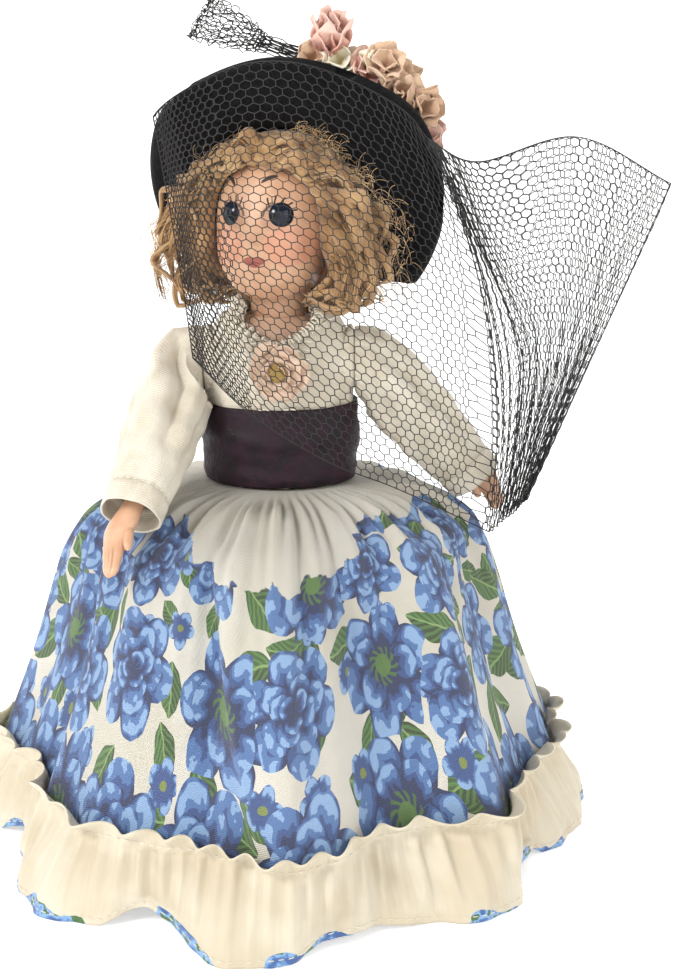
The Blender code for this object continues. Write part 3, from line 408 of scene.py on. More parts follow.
def new_tree(name, **inputs):
    """An empty tree with a geometry input and output, and the named inputs."""
    tree = bpy.data.node_groups.new(name, "GeometryNodeTree")
    tree.interface.new_socket("Geometry", in_out="INPUT", socket_type="NodeSocketGeometry")
    for words, kind in inputs.items():
        tree.interface.new_socket(words.replace("_", " "), in_out="INPUT", socket_type=kind)
    tree.interface.new_socket("Geometry", in_out="OUTPUT", socket_type="NodeSocketGeometry")
    start = tree.nodes.new("NodeGroupInput")
    end = tree.nodes.new("NodeGroupOutput")
    return tree, start, end


def tree_node(tree, kind, settings=None, inputs=None):
    made = tree.nodes.new(kind)
    for word, value in (settings or {}).items():
        setattr(made, word, value)
    for socket, value in (inputs or {}).items():
        if isinstance(value, bpy.types.NodeSocket):
            tree.links.new(value, made.inputs[socket])
        else:
            made.inputs[socket].default_value = value
    return made


def close_tree(tree, geometry, material, end):
    """Every tree ends in plain mesh with its material."""
    real = tree_node(tree, "GeometryNodeRealizeInstances", None, {0: geometry})
    painted = tree_node(tree, "GeometryNodeSetMaterial", None, {0: real.outputs[0], "Material": material})
    tree.links.new(painted.outputs[0], end.inputs[0])


def thread_tree():
    """Each edge of the web becomes a tube of the named radius."""
    tree, start, end = new_tree(
        "threads", Radius="NodeSocketFloat", Sides="NodeSocketInt", Material="NodeSocketMaterial"
    )
    lines = tree_node(tree, "GeometryNodeMeshToCurve", None, {0: start.outputs[0]})
    circle = tree_node(
        tree,
        "GeometryNodeCurvePrimitiveCircle",
        None,
        {"Resolution": start.outputs["Sides"], "Radius": start.outputs["Radius"]},
    )
    tubes = tree_node(
        tree,
        "GeometryNodeCurveToMesh",
        None,
        {0: lines.outputs[0], "Profile Curve": circle.outputs[0], "Fill Caps": True},
    )
    close_tree(tree, tubes.outputs[0], start.outputs["Material"], end)
    return tree


def stitch_tree():
    """Small rings or dashes at even steps along the web's lines."""
    tree, start, end = new_tree(
        "stitches",
        Step="NodeSocketFloat",
        Length="NodeSocketFloat",
        Radius="NodeSocketFloat",
        Ring="NodeSocketBool",
        Material="NodeSocketMaterial",
    )
    lines = tree_node(tree, "GeometryNodeMeshToCurve", None, {0: start.outputs[0]})
    even = tree_node(
        tree,
        "GeometryNodeResampleCurve",
        {"mode": "LENGTH"},
        {0: lines.outputs[0], "Length": start.outputs["Step"]},
    )
    dash = tree_node(
        tree,
        "GeometryNodeMeshCylinder",
        None,
        {"Vertices": 5, "Radius": start.outputs["Radius"], "Depth": start.outputs["Length"]},
    )
    loop = tree_node(
        tree, "GeometryNodeCurvePrimitiveCircle", None, {"Resolution": 10, "Radius": start.outputs["Length"]}
    )
    strand = tree_node(
        tree, "GeometryNodeCurvePrimitiveCircle", None, {"Resolution": 4, "Radius": start.outputs["Radius"]}
    )
    ring = tree_node(
        tree, "GeometryNodeCurveToMesh", None, {0: loop.outputs[0], "Profile Curve": strand.outputs[0]}
    )
    unit = tree_node(
        tree,
        "GeometryNodeSwitch",
        {"input_type": "GEOMETRY"},
        {0: start.outputs["Ring"], 1: dash.outputs[0], 2: ring.outputs[0]},
    )
    along = tree_node(tree, "GeometryNodeInputTangent")
    aim = tree_node(tree, "FunctionNodeAlignRotationToVector", {"axis": "Z"}, {"Vector": along.outputs[0]})
    placed = tree_node(
        tree,
        "GeometryNodeInstanceOnPoints",
        None,
        {0: even.outputs[0], "Instance": unit.outputs[0], "Rotation": aim.outputs[0]},
    )
    close_tree(tree, placed.outputs[0], start.outputs["Material"], end)
    return tree


threads = thread_tree()
stitches = stitch_tree()


def web_piece(name, lines, finish, body, tree, tones=None, **inputs):
    """Runs a tree on open lines of points, and keeps the result as one plain mesh."""
    mesh = bpy.data.meshes.new(name + "_web")
    verts = []
    edges = []
    shades = []
    for k, line in enumerate(lines):
        first = len(verts)
        verts += [tuple(point) for point in line]
        edges += [(first + i, first + i + 1) for i in range(len(line) - 1)]
        shades += [tones[k] if tones else 0.5] * len(line)
    mesh.from_pydata(verts, edges, [])
    shade = mesh.attributes.new("tone", "FLOAT", "POINT")
    shade.data.foreach_set("value", shades)
    web = bpy.data.objects.new(name + "_web", mesh)
    bpy.context.scene.collection.objects.link(web)
    modifier = web.modifiers.new("run", "NODES")
    modifier.node_group = tree
    sockets = {item.name: item.identifier for item in tree.interface.items_tree if item.in_out == "INPUT"}
    for word, value in inputs.items():
        modifier[sockets[word]] = value
    modifier[sockets["Material"]] = finish.material
    depsgraph = bpy.context.evaluated_depsgraph_get()
    result = bpy.data.meshes.new_from_object(web.evaluated_get(depsgraph))
    bpy.data.objects.remove(web)
    result.name = name
    result.shade_smooth()
    piece = bpy.data.objects.new(name, result)
    bpy.context.scene.collection.objects.link(piece)
    if body:
        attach(piece, body)
    print(name, len(result.polygons), "faces")
    return piece

# %% [markdown]
# ## Cloth finishes
# Woven cloth is two things at once: a fine weave that only roughens the light, and slow, broad
# changes of colour where it has aged. Both read the cloth's own UV map in metres, so the weave
# keeps its real size of about half a millimetre.

# %% Crepe, satin, velvet and net


def aged(finish, place, below, above, scale=60.0):
    """Two near colours, mixed by a slow noise."""
    return finish.mix(finish.noise(place, scale, 3.0).ramp(0.35, 0.65), below, above)


def woven(finish, place, pitch, slant=0.0):
    """The height of a weave with that pitch, from 0 to 2, slanted for a twill."""
    across, along, _ = finish.split(place)
    warp = ((across + along * slant) * (math.tau / pitch)).sine()
    weft = ((along - across * slant) * (math.tau / pitch)).sine()
    return warp * weft + 1.0


def make_crepe():
    finish = Finish("ivory_crepe", Roughness=0.82, Sheen_Weight=0.25, Sheen_Roughness=0.5)
    place = finish.at()
    grain = finish.noise(place, 1500.0, 3.0, 0.7)
    creases = finish.noise(place, 170.0, 3.0, 0.55)
    tint = aged(finish, place, (0.60, 0.535, 0.415), (0.72, 0.665, 0.56), 90.0)
    shade = finish.mix(grain.ramp(0.3, 0.7) * 0.35, tint, (0.48, 0.42, 0.32))
    finish.feed(Base_Color=shade)
    return finish.bump(grain * 0.35 + creases * 1.6, 0.45 * MM, 0.75)


def turned_up_print(finish, place, colour):
    """The inner skirt's print, which shows in patches where it is turned up over the edge."""
    _, down, _ = finish.split(place)
    patch = finish.noise(place, 38.0, 2.0).ramp(0.46, 0.60, 0.0, 5.0 * MM)
    dabs = finish.noise(place, 260.0, 2.0)
    tint = finish.colours(
        dabs, (0.0, (0.010, 0.036, 0.15)), (0.42, (0.045, 0.12, 0.32)), (0.52, (0.20, 0.36, 0.62)),
        (0.57, (0.22, 0.38, 0.62)), (0.61, (0.05, 0.13, 0.035)),
    )
    return finish.mix((down + patch) > 30.6 * MM, colour, tint)


def make_satin(name, printed_edge=False):
    finish = Finish(name, Roughness=0.40, Sheen_Weight=0.15, Sheen_Roughness=0.4)
    place = finish.at("UV")
    # Painted shade: these streaks darken the colour in fine stripes along the gathers, and they also vary the
    # roughness.
    gather_shade_streaks = finish.noise(finish.at("UV", (900.0, 40.0, 1.0)), 1.0, 2.0)
    tint = aged(finish, place, (0.58, 0.50, 0.36), (0.68, 0.62, 0.49), 45.0)
    colour = finish.mix(gather_shade_streaks * 0.4, tint, (0.44, 0.37, 0.26))
    if printed_edge:
        colour = turned_up_print(finish, place, colour)
    finish.feed(Base_Color=colour)
    finish.feed(Roughness=gather_shade_streaks.ramp(0.3, 0.7, 0.34, 0.50))
    folds = finish.noise(finish.at("UV", (260.0, 60.0, 1.0)), 1.0, 2.0)
    return finish.bump(woven(finish, place, 0.30 * MM) * 0.1 + folds * 1.2, 0.6 * MM, 0.6)


def make_velvet():
    finish = Finish(
        "aubergine_velvet", Specular_IOR_Level=0.25, Sheen_Weight=0.10, Sheen_Roughness=0.35,
        Sheen_Tint=(0.42, 0.24, 0.34, 1.0),
    )
    place = finish.at()
    # The crush noise gives the pile its bump and roughness, and its lighter patches in the colour are painted
    # highlights.
    crush_and_highlights = finish.noise(place, 240.0, 4.0, 0.6)
    finish.feed(Base_Color=finish.mix(crush_and_highlights.ramp(0.35, 0.7), (0.005, 0.002, 0.004), (0.024, 0.008, 0.016)))
    finish.feed(Roughness=crush_and_highlights.ramp(0.3, 0.7, 0.42, 0.72))
    pile = finish.noise(place, 2600.0, 2.0)
    return finish.bump(crush_and_highlights * 1.4 + pile * 0.3, 0.5 * MM, 0.8)


def make_net():
    finish = Finish("black_tulle", Roughness=0.75)
    wear = finish.noise(finish.at(), 400.0)
    finish.feed(Base_Color=finish.mix(wear, (0.008, 0.008, 0.009), (0.030, 0.027, 0.026)))
    return finish.bump(finish.noise(finish.at(), 6000.0), 0.05 * MM, 0.5)


def make_lace():
    finish = Finish("ivory_lace", Roughness=0.85, Sheen_Weight=0.2)
    twist = finish.noise(finish.at(), 3000.0, 2.0)
    finish.feed(Base_Color=finish.mix(twist, (0.62, 0.55, 0.42), (0.82, 0.77, 0.66)))
    return finish.bump(twist, 0.15 * MM, 0.6)


def make_petal_cloth(name, deep, pale):
    """Starched petal cloth: paler towards its edge, with fine veins from the middle."""
    finish = Finish(name, Roughness=0.75, Sheen_Weight=0.2)
    _, outwards, _ = finish.split(finish.at("UV"))
    stain = finish.noise(finish.at(), 500.0, 3.0)
    spread = (outwards + stain * 0.35).ramp(0.25, 1.05)
    finish.feed(Base_Color=finish.mix(spread, deep, pale))
    veins = finish.noise(finish.at("UV", (24.0, 2.0, 1.0)), 1.0, 2.0)
    return finish.bump(veins + stain * 0.4, 0.25 * MM, 0.7)


def make_organza():
    finish = Finish("peach_organza", Roughness=0.55, Sheen_Weight=0.3, Alpha=0.92)
    stain = finish.noise(finish.at(), 400.0, 3.0)
    _, outwards, _ = finish.split(finish.at("UV"))
    spread = (outwards * 0.6 + stain * 0.6).ramp(0.3, 0.9)
    finish.feed(Base_Color=finish.mix(spread, (0.66, 0.38, 0.24), (0.80, 0.60, 0.45)))
    return finish.bump(finish.noise(finish.at("UV", (30.0, 3.0, 1.0)), 1.0) + stain, 0.3 * MM, 0.7)


crepe = make_crepe()
satin = make_satin("cream_satin")
hem_satin = make_satin("cream_satin_printed_edge", True)
velvet = make_velvet()
net = make_net()
lace = make_lace()
organza = make_organza()
pink_cloth = make_petal_cloth("pink_petal_cloth", (0.50, 0.20, 0.14), (0.72, 0.47, 0.39))
peach_cloth = make_petal_cloth("peach_petal_cloth", (0.34, 0.18, 0.10), (0.62, 0.43, 0.29))
ivory_cloth = make_petal_cloth("ivory_petal_cloth", (0.45, 0.38, 0.16), (0.82, 0.77, 0.62))
tan_cloth = make_petal_cloth("tan_petal_cloth", (0.22, 0.11, 0.06), (0.52, 0.34, 0.22))
knot_cloth = make_petal_cloth("yellow_knot_cloth", (0.34, 0.22, 0.05), (0.66, 0.50, 0.18))

# %% [markdown]
# ## The border print
# The skirt cloth is an ivory faille with large blue roses, small sprigs and green leaves. Each
# flower stands in one Voronoi cell: the distance and the angle from the cell's middle give its
# petals. The layout and the flowers are invented for this doll, in the old cloth's colours.

# %% Flowers on faille


def flower_cells(finish, place, pitch, spread):
    """The distance and the angle from the nearest flower's middle, and that flower's own number."""
    scaled = finish.node("ShaderNodeVectorMath", {"operation": "SCALE"}, {0: place, "Scale": 1.0 / pitch})
    settings = {"voronoi_dimensions": "2D"}
    inputs = {"Vector": scaled, "Scale": 1.0, "Randomness": spread}
    cells = finish.node("ShaderNodeTexVoronoi", settings, inputs).socket.node
    middle = Field(finish, cells.outputs["Position"])
    number = finish.split(Field(finish, cells.outputs["Color"]))[0]
    away = finish.node("ShaderNodeVectorMath", {"operation": "SUBTRACT"}, {0: scaled, 1: middle})
    across, along, _ = finish.split(away)
    reach = (across * across + along * along) ** 0.5
    return reach, along.maths("ARCTAN2", across) + number * 6.0, number


def ribbed(finish, place):
    """The faille's twill: 0.6 mm ribs."""
    return woven(finish, place, 0.62 * MM, 0.55)


def petal_ring(finish, reach, angle, many, size, phase, streak):
    """One ring of petals: where it is, and its tone from 0 in the folds to 1 at the pale tips."""
    turns = angle * (many / math.tau) + phase
    turn = turns.fraction() - 0.5
    odd = ((turns - turns.fraction()) * 2.9 + phase).sine()
    side = turn.size() * 2.0
    share = reach / (size * (1.0 - side * side * 0.30))
    brush = (turn * 19.0 + streak * 9.0 + share * 2.0).sine() * 0.5 + 0.5
    lit = share.ramp(0.50, 0.88) * (1.0 - side.ramp(0.55, 0.92))
    rim = share.ramp(0.90, 0.97) * odd.ramp(-0.2, 0.6)
    return share < 1.0, lit * 0.66 + brush * share * 0.26 + odd * 0.12 - rim * 0.45


def rose_layer(finish, painted, place, dense, blues, streak):
    """Large blooms: open ones with two rings of petals and a green heart, and full ones with four."""
    reach, angle, number = flower_cells(finish, place, 32.0 * MM, 0.34)
    size = number * 0.12 + 0.48
    full = number < 0.52
    rings = ((6.0, 1.0, 0.0), (5.0, 0.70, 0.4), (4.0, 0.50, 0.1), (3.0, 0.30, 0.6))
    for k, (many, shrink, phase) in enumerate(rings):
        where, tone = petal_ring(finish, reach, angle, many, size * shrink, number * 5.0 + phase, streak)
        tint = finish.inks(
            tone + streak * 0.1, (0.0, blues[0]), (0.24, blues[1]), (0.50, blues[2]), (0.76, blues[3])
        )
        painted = finish.mix((where * full if k > 1 else where) * dense, painted, tint)
    dots = (angle * 11.0 + reach * 60.0).sine() > 0.2
    middle = finish.mix(dots, blues[0], (0.06, 0.16, 0.035))
    painted = finish.mix((reach < size * 0.30) * (number > 0.52) * dense, painted, middle)
    heart = finish.mix(streak, (0.045, 0.13, 0.030), (0.13, 0.26, 0.06))
    return finish.mix((reach < size * 0.17) * (number > 0.52) * dense, painted, heart)


def sprig_layer(finish, painted, place, dense, blues, streak):
    """Small five petalled flowers with yellow green hearts."""
    reach, angle, number = flower_cells(finish, place, 17.0 * MM, 0.5)
    where, tone = petal_ring(finish, reach, angle, 5.0, 0.33, number * 3.0, streak)
    tint = finish.inks(tone, (0.0, blues[1]), (0.30, blues[2]), (0.55, blues[3]))
    painted = finish.mix(where * (number > 0.5) * dense, painted, tint)
    return finish.mix((reach < 0.07) * (number > 0.5) * dense, painted, (0.20, 0.26, 0.05))


def leaf_layer(finish, painted, place, dense, pitch, common, greens):
    """Pointed leaves with a pale midrib and chevron veins, one in each cell, turned at random."""
    reach, angle, number = flower_cells(finish, place, pitch, 0.45)
    across = reach * angle.sine()
    along = reach * (angle + math.pi / 2).sine()
    leaf = (across.size() < (1.0 - along * along / 0.21) * 0.25) * (number > 1.0 - common)
    veins = (along * 44.0 - across.size() * 60.0).sine() * 0.5 + 0.5
    shade = veins.ramp(0.35, 0.75) * 0.7 + (across > 0.0) * 0.3
    tint = finish.mix(shade, greens[0], greens[1])
    tint = finish.mix(across.size() < 0.016, tint, greens[2])
    return finish.mix(leaf * dense, painted, tint)


def print_flowers(finish, cloth, ground, blues, dense):
    """The ground colour with leaves, sprigs and roses printed over it where the cloth is dense."""
    swirl = finish.node("ShaderNodeTexNoise", None, {"Vector": cloth, "Scale": 120.0, "Detail": 2.0}, 1)
    bend = {0: swirl, 1: (3.0 * MM, 3.0 * MM, 0.0), 2: cloth}
    place = finish.node("ShaderNodeVectorMath", {"operation": "MULTIPLY_ADD"}, bend)
    shift = {0: place, 1: (0.137, 0.071, 0.0)}
    second = finish.node("ShaderNodeVectorMath", {"operation": "ADD"}, shift)
    streak = finish.noise(cloth, 260.0, 3.0, 0.6)
    greens = ((0.018, 0.055, 0.014), (0.085, 0.22, 0.050), (0.22, 0.36, 0.12))
    painted = leaf_layer(finish, ground, second, dense, 15.0 * MM, 0.62, greens)
    painted = leaf_layer(finish, painted, place, dense, 18.0 * MM, 0.60, greens)
    painted = sprig_layer(finish, painted, second, dense, blues, streak)
    return rose_layer(finish, painted, place, dense, blues, streak)


def make_print(name, ground, aged_ground, blues, border, dip):
    """Printed faille. The print begins a border below the waist, and a dip further at the front."""
    finish = Finish(name, Roughness=0.72, Sheen_Weight=0.12, Sheen_Roughness=0.4)
    cloth = finish.at("UV")
    across, down, _ = finish.split(cloth)
    wander = finish.noise(cloth, 75.0, 3.0)
    front = ((across - 0.28) * (math.tau / 0.56) + math.pi / 2).sine().ramp(0.80, 1.0)
    dense = (down + wander * 26.0 * MM - front * dip).ramp(border, border + 0.6 * MM)
    base = aged(finish, cloth, ground, aged_ground, 30.0)
    ribs = ribbed(finish, cloth)
    printed = print_flowers(finish, cloth, base, blues, dense)
    finish.feed(Base_Color=finish.mix(ribs * 0.20, printed, (0.23, 0.20, 0.16)))
    wrinkles = finish.noise(finish.at("UV", (120.0, 26.0, 1.0)), 1.0, 3.0)
    return finish.bump(ribs * 0.26 + wrinkles * 2.2, 0.6 * MM, 0.8)


old_blues = ((0.006, 0.024, 0.105), (0.022, 0.075, 0.25), (0.070, 0.18, 0.43), (0.26, 0.43, 0.70))
pale_blues = ((0.05, 0.13, 0.30), (0.10, 0.21, 0.42), (0.16, 0.30, 0.52), (0.42, 0.52, 0.70))
faille = make_print("printed_faille", (0.74, 0.71, 0.63), (0.66, 0.62, 0.52), old_blues, 30.0 * MM, 20.0 * MM)
inner_cotton = make_print("inner_print", (0.58, 0.62, 0.68), (0.50, 0.54, 0.60), pale_blues, -40.0 * MM, 0.0)

# %% [markdown]
# ## Skirt
# A full gathered skirt falls from the sash in a few large folds, with many tiny gathers at the
# waist that fade within two centimetres. The folds are waves on a bell shape; a real simulation
# would need thousands of cloth points for the same picture.

# %% Skirt shape
skirt_folds = 4.8 * MM
bell = (
    # share of the way down, share of the way out, share of the height
    (0.00, 0.00, 0.000),
    (0.12, 0.30, 0.035),
    (0.22, 0.46, 0.085),
    (0.33, 0.59, 0.150),
    (0.46, 0.655, 0.265),
    (0.58, 0.71, 0.400),
    (0.78, 0.82, 0.660),
    (1.00, 1.00, 1.000),
)


def main_folds(turn):
    return 0.65 * math.cos(8 * turn) + 0.35 * math.cos(3 * turn + 0.5)


def front_pleats(turn, share):
    """A flat panel at the middle of the front, and a long fold that crosses it low down."""
    right_edge = between(0.12, 0.07, share)
    panel = smooth(turn, -0.22, -0.16) * (1.0 - smooth(turn, right_edge - 0.02, right_edge + 0.02))
    panel *= smooth(share, 0.06, 0.2) * (1.0 - smooth(share, 0.7, 0.95))
    edge = between(-0.42, -0.04, share)
    fold = smooth(turn, edge - 0.030, edge + 0.02) * (1.0 - smooth(turn, edge + 0.03, edge + 0.42))
    fold *= smooth(share, 0.2, 0.4) * (1.0 - 0.5 * smooth(share, 0.8, 1.0))
    return (3.2 * panel + 5.0 * fold) * MM


def fine_folds(turn, share):
    """Sharper creases between the main folds, and the gathers at the waist."""
    lean = 8 * turn + 1.3 * math.sin(3 * turn)
    crease = 0.9 * math.sin(lean) + 0.45 * math.sin(2 * lean) + 0.2 * math.sin(3 * lean)
    crease += 0.5 * math.cos(21 * turn + 1.7)
    crease *= smooth(share, 0.15, 0.5) * 2.3 * MM
    crease += front_pleats(turn, share)
    gathers = math.cos(62 * turn + 2.0 * math.sin(5 * turn)) * 0.75 * MM
    gathers *= smooth(share, 0.02, 0.10) * (1.0 - smooth(share, 0.14, 0.40))
    tucks = math.cos(26 * turn + 1.6 * math.sin(4 * turn)) ** 3 * 1.5 * MM
    return crease + gathers + tucks * smooth(share, 0.05, 0.18) * (1.0 - smooth(share, 0.35, 0.75))


def skirt_point(turn, share, inwards=0.0):
    """A place on the skirt: a turn round from the front, and a share of the way down."""
    out, down = sampled(bell, share)
    radius = between(17.5 * MM, 73.5 * MM, out) - inwards
    height = between(waist + 1.0 * MM, 18.5 * MM, down) - inwards * (1.0 - smooth(share, 0.3, 0.7))
    depth = between(0.757, 1.0, smooth(share * 2.0))
    reach = radius + skirt_folds * smooth(share, 0.1, 0.62) * main_folds(turn)
    proud = fine_folds(turn, share)
    if inwards > 0.0:
        proud = min(proud, 0.0)
    flat = 1.0 - smooth(share, 0.16, 0.50)
    reach += proud * (1.0 - 0.75 * flat)
    height += proud * 0.9 * flat
    return Vector((reach * math.sin(turn), -reach * math.cos(turn) * depth, height))


def make_skirt(name, node, finish, inwards, bottom, many, drops, wall):
    rows = []
    for j in range(drops + 1):
        share = j / drops
        rows.append([skirt_point(math.tau * i / many - math.pi, share, inwards) for i in range(many)])
    if bottom:
        for height in (14.0, 10.0, bottom):
            rows.append([Vector((p.x, p.y, height * MM)) for p in rows[drops]])
    cloth_round = 560.0 * MM
    steps = len(rows) - 1

    def uv(row, column):
        return cloth_round * column / many, 100.0 * MM * row / steps

    skirt = sheet_piece(name, rows, finish, "body", uv, wall=wall)
    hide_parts(node)
    return skirt


outer_skirt = make_skirt(
    "skirt_cloth", "outer_skirt", faille, 0.0, 0.0, 496, 70, 0.4 * MM
)
inner_skirt = make_skirt(
    "skirt_lining", "inner_skirt", inner_cotton, 1.6 * MM, 6.0, 240, 40, 0.4 * MM
)

# %% [markdown]
# ## Hem ruffle
# The cream satin ruffle is gathered on a thread a few millimetres below its top, which leaves a
# narrow frilled heading; below the thread it swings out in deep waves down to the floor.

# %% Ruffle and its running stitches
ruffle_rows = (
    # share of the way down, then its height in mm, its stand in mm, and how much the waves show
    (0.00, 24.5, 2.2, 0.5),
    (0.07, 22.4, 1.1, 0.2),
    (0.14, 20.6, 0.9, 0.0),
    (0.25, 17.8, 1.6, 0.15),
    (0.55, 11.0, 4.8, 0.60),
    (0.80, 5.0, 7.2, 0.85),
    (1.00, 0.3, 8.2, 1.00),
)


def ruffle_swing(turn):
    return 0.7 * math.cos(9 * turn + 0.6) + 0.3 * math.cos(14 * turn + 2.0)


def ruffle_point(turn, share, proud=0.0):
    height, stand, wave = sampled(ruffle_rows, share)
    reach = 73.5 * MM + skirt_folds * main_folds(turn) + stand * MM + proud
    swing = ruffle_swing(turn)
    reach += 4.2 * MM * wave * max(swing, -0.6)
    reach += fine_folds(turn, 0.97) * (1.0 - smooth(share, 0.25, 0.9))
    curl = math.cos(47 * turn + 3.5 * math.sin(4 * turn)) + 0.5 * math.cos(29 * turn + 1.0)
    tucks = math.cos(96 * turn + 3.0 * math.sin(5 * turn)) + 0.6 * math.cos(61 * turn + 2.0)
    top = 1.0 - smooth(share, 0.01, 0.13)
    near = smooth(share, 0.12, 0.20) * (1.0 - 0.85 * smooth(share, 0.30, 0.95))
    reach += MM * (1.5 * curl * top + 1.1 * top + 1.2 * max(tucks, -0.5) * near)
    reach += 0.8 * MM * math.cos(33 * turn + 0.9 + 4.0 * share) * smooth(share, 0.3, 0.8)
    lift = max(0.0, -6.0 * MM * swing - 0.5 * MM) * smooth(share, 0.55, 1.0)
    lift += 0.9 * MM * math.sin(47 * turn + 3.5 * math.sin(4 * turn)) * top
    return Vector((reach * math.sin(turn), -reach * math.cos(turn), height * MM + lift))


def make_ruffle():
    many = 672
    drops = 36
    rows = []
    for j in range(drops + 1):
        rows.append([ruffle_point(math.tau * i / many - math.pi, j / drops) for i in range(many)])

    def uv(row, column):
        return 0.72 * column / many, 0.030 * row / drops

    ruffle = sheet_piece("ruffle_satin", rows, hem_satin, "body", uv, wall=0.35 * MM)
    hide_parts("hem_ruffle")
    return ruffle


def ring_line(point_at, many):
    line = [point_at(math.tau * i / many) for i in range(many + 1)]
    return line


def make_hem_stitches():
    """Two rows of running stitches: on the gathering thread, and near the lower edge."""
    lines = [ring_line(lambda turn, s=share: ruffle_point(turn, s, 0.12 * MM), 900) for share in (0.12, 0.93)]
    return web_piece(
        "hem_stitches", lines, lace, "body", stitches, Step=2.4 * MM, Length=1.3 * MM, Radius=0.11 * MM
    )


ruffle = make_ruffle()
hem_stitches = make_hem_stitches()

# %% [markdown]
# ## Painted plastic
# The head and the hands are hard plastic, sprayed a warm tan and then painted by hand: blushed
# cheeks, two short brows, a small mouth and thin lashes. Every stroke is a soft ellipse or a band in
# the head's own millimetres, so the paint turns with the head.

# %% Skin, face paint and eyes
eye_middle = {}
for doll, place in (("upper", upper_neck), ("lower", lower_neck)):
    low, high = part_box(doll + "_left_eye")
    eye_middle[doll] = place.inverted() @ ((low + high) / 2) - head_middle
eye_out = abs(eye_middle["upper"].x) / MM
eye_up = eye_middle["upper"].z / MM
mouth_up = eye_up - 11.4
print("eyes", round(eye_out, 2), "mm out and", round(eye_up, 2), "mm up")


def oval(finish, x, z, out, up, wide, high):
    """A soft ellipse: 1 inside and 0 outside."""
    across = (x - out) / wide
    along = (z - up) / high
    return 1.0 - (across * across + along * along).ramp(0.75, 1.15)


def stroke(finish, x, z, out, up, length, thick, lean):
    """A brush stroke that leans by an angle and thins towards its ends."""
    across = (x - out) * math.cos(lean) + (z - up) * math.sin(lean)
    along = (z - up) * math.cos(lean) - (x - out) * math.sin(lean)
    bow = across * across * 0.10
    return oval(finish, across, along + bow, 0.0, 0.0, length, thick)


def skin_tones(finish, place):
    mottle = finish.noise(place, 0.16, 3.0)
    return finish.mix(mottle.ramp(0.3, 0.7), (0.53, 0.29, 0.17), (0.63, 0.38, 0.24))


def make_face(name, turn, move):
    """Skin with the painted face. The mapping turns the world into the head's millimetres."""
    finish = Finish(name, Roughness=0.42, Coat_Weight=0.10, Coat_Roughness=0.3)
    place = finish.at("Object", (1000.0, 1000.0, 1000.0), turn, move)
    x, y, z = finish.split(place)
    front = y < -3.0
    colour = skin_tones(finish, place)
    for side in (-1.0, 1.0):
        blush = oval(finish, x, z, side * 8.5, eye_up - 7.5, 6.0, 5.0)
        colour = finish.mix(blush * front * 0.35, colour, (0.62, 0.20, 0.12))
    outer = x.size() - eye_out
    height = z - eye_up
    reach = (outer * outer + height * height) ** 0.5
    around = height.maths("ARCTAN2", outer)
    # Painted shade: the skin darkens in a soft ring round each eye, where the socket lies in shade.
    socket = 1.0 - reach.ramp(2.7, 4.2)
    colour = finish.mix(socket * front * 0.45, colour, (0.26, 0.12, 0.07))
    thin = reach * 0.10 + 0.28
    hairs = ((around * 15.0 + reach * 0.6).sine() > thin) * (reach > 2.5) * (reach < 5.0)
    lashes = hairs * (around > -0.05) * (around < 2.25) * front
    colour = finish.mix(lashes, colour, (0.012, 0.008, 0.007))
    lid_line = (reach > 2.5) * (reach < 3.15) * (around > -0.3) * (around < 3.3)
    colour = finish.mix(lid_line * front * 0.8, colour, (0.030, 0.016, 0.012))
    mouth = oval(finish, x, z, -1.25, mouth_up + 0.35, 1.7, 0.95)
    mouth = mouth.maths("MAXIMUM", oval(finish, x, z, 1.25, mouth_up + 0.35, 1.7, 0.95))
    mouth = mouth.maths("MAXIMUM", oval(finish, x, z, 0.0, mouth_up - 0.55, 1.7, 0.85))
    colour = finish.mix(mouth * front * 0.9, colour, (0.30, 0.055, 0.040))
    parting = stroke(finish, x, z, 0.0, mouth_up, 2.2, 0.16, 0.0)
    colour = finish.mix(parting * front * 0.7, colour, (0.12, 0.020, 0.018))
    right = stroke(finish, x, z, -eye_out - 2.3, eye_up + 8.4, 2.1, 0.52, -0.55)
    left = stroke(finish, x, z, eye_out - 2.5, eye_up + 9.2, 2.1, 0.52, 0.40)
    brows = right.maths("MAXIMUM", left)
    colour = finish.mix(brows * front * 0.95, colour, (0.012, 0.009, 0.008))
    finish.feed(Base_Color=colour)
    speck = finish.noise(place, 1.4, 2.0)
    finish.feed(Roughness=speck.ramp(0.3, 0.7, 0.38, 0.52))
    return finish.bump(speck, 0.10 * MM, 0.35)


def make_skin():
    finish = Finish("hand_plastic", Roughness=0.40, Coat_Weight=0.2, Coat_Roughness=0.3)
    place = finish.at("Object", (1000.0, 1000.0, 1000.0))
    finish.feed(Base_Color=skin_tones(finish, place))
    speck = finish.noise(place, 1.2, 2.0)
    finish.feed(Roughness=speck.ramp(0.3, 0.7, 0.34, 0.52))
    return finish.bump(speck, 0.12 * MM, 0.4)


def make_eye(name, turn, move, lid_edge):
    """Dark blue glass below a skin coloured lid, which starts above lid_edge."""
    finish = Finish(name, Roughness=0.08, IOR=1.45)
    x, y, z = finish.split(finish.at("Object", (1000.0, 1000.0, 1000.0), turn, move))
    outer = x.size() - eye_out
    height = z - eye_up
    reach = (outer * outer + height * height) ** 0.5
    depth = finish.noise(finish.at("Object"), 900.0)
    glass = finish.mix(depth, (0.001, 0.003, 0.009), (0.005, 0.010, 0.027))
    glass = finish.mix(reach < 1.0, glass, (0.001, 0.001, 0.002))
    lid = height > lid_edge
    line = (height > lid_edge - 0.25) * (height < lid_edge + 0.1)
    colour = finish.mix(lid, glass, (0.50, 0.27, 0.16))
    finish.feed(Base_Color=finish.mix(line, colour, (0.015, 0.010, 0.008)))
    finish.feed(Roughness=lid * 0.3 + 0.07)
    return finish


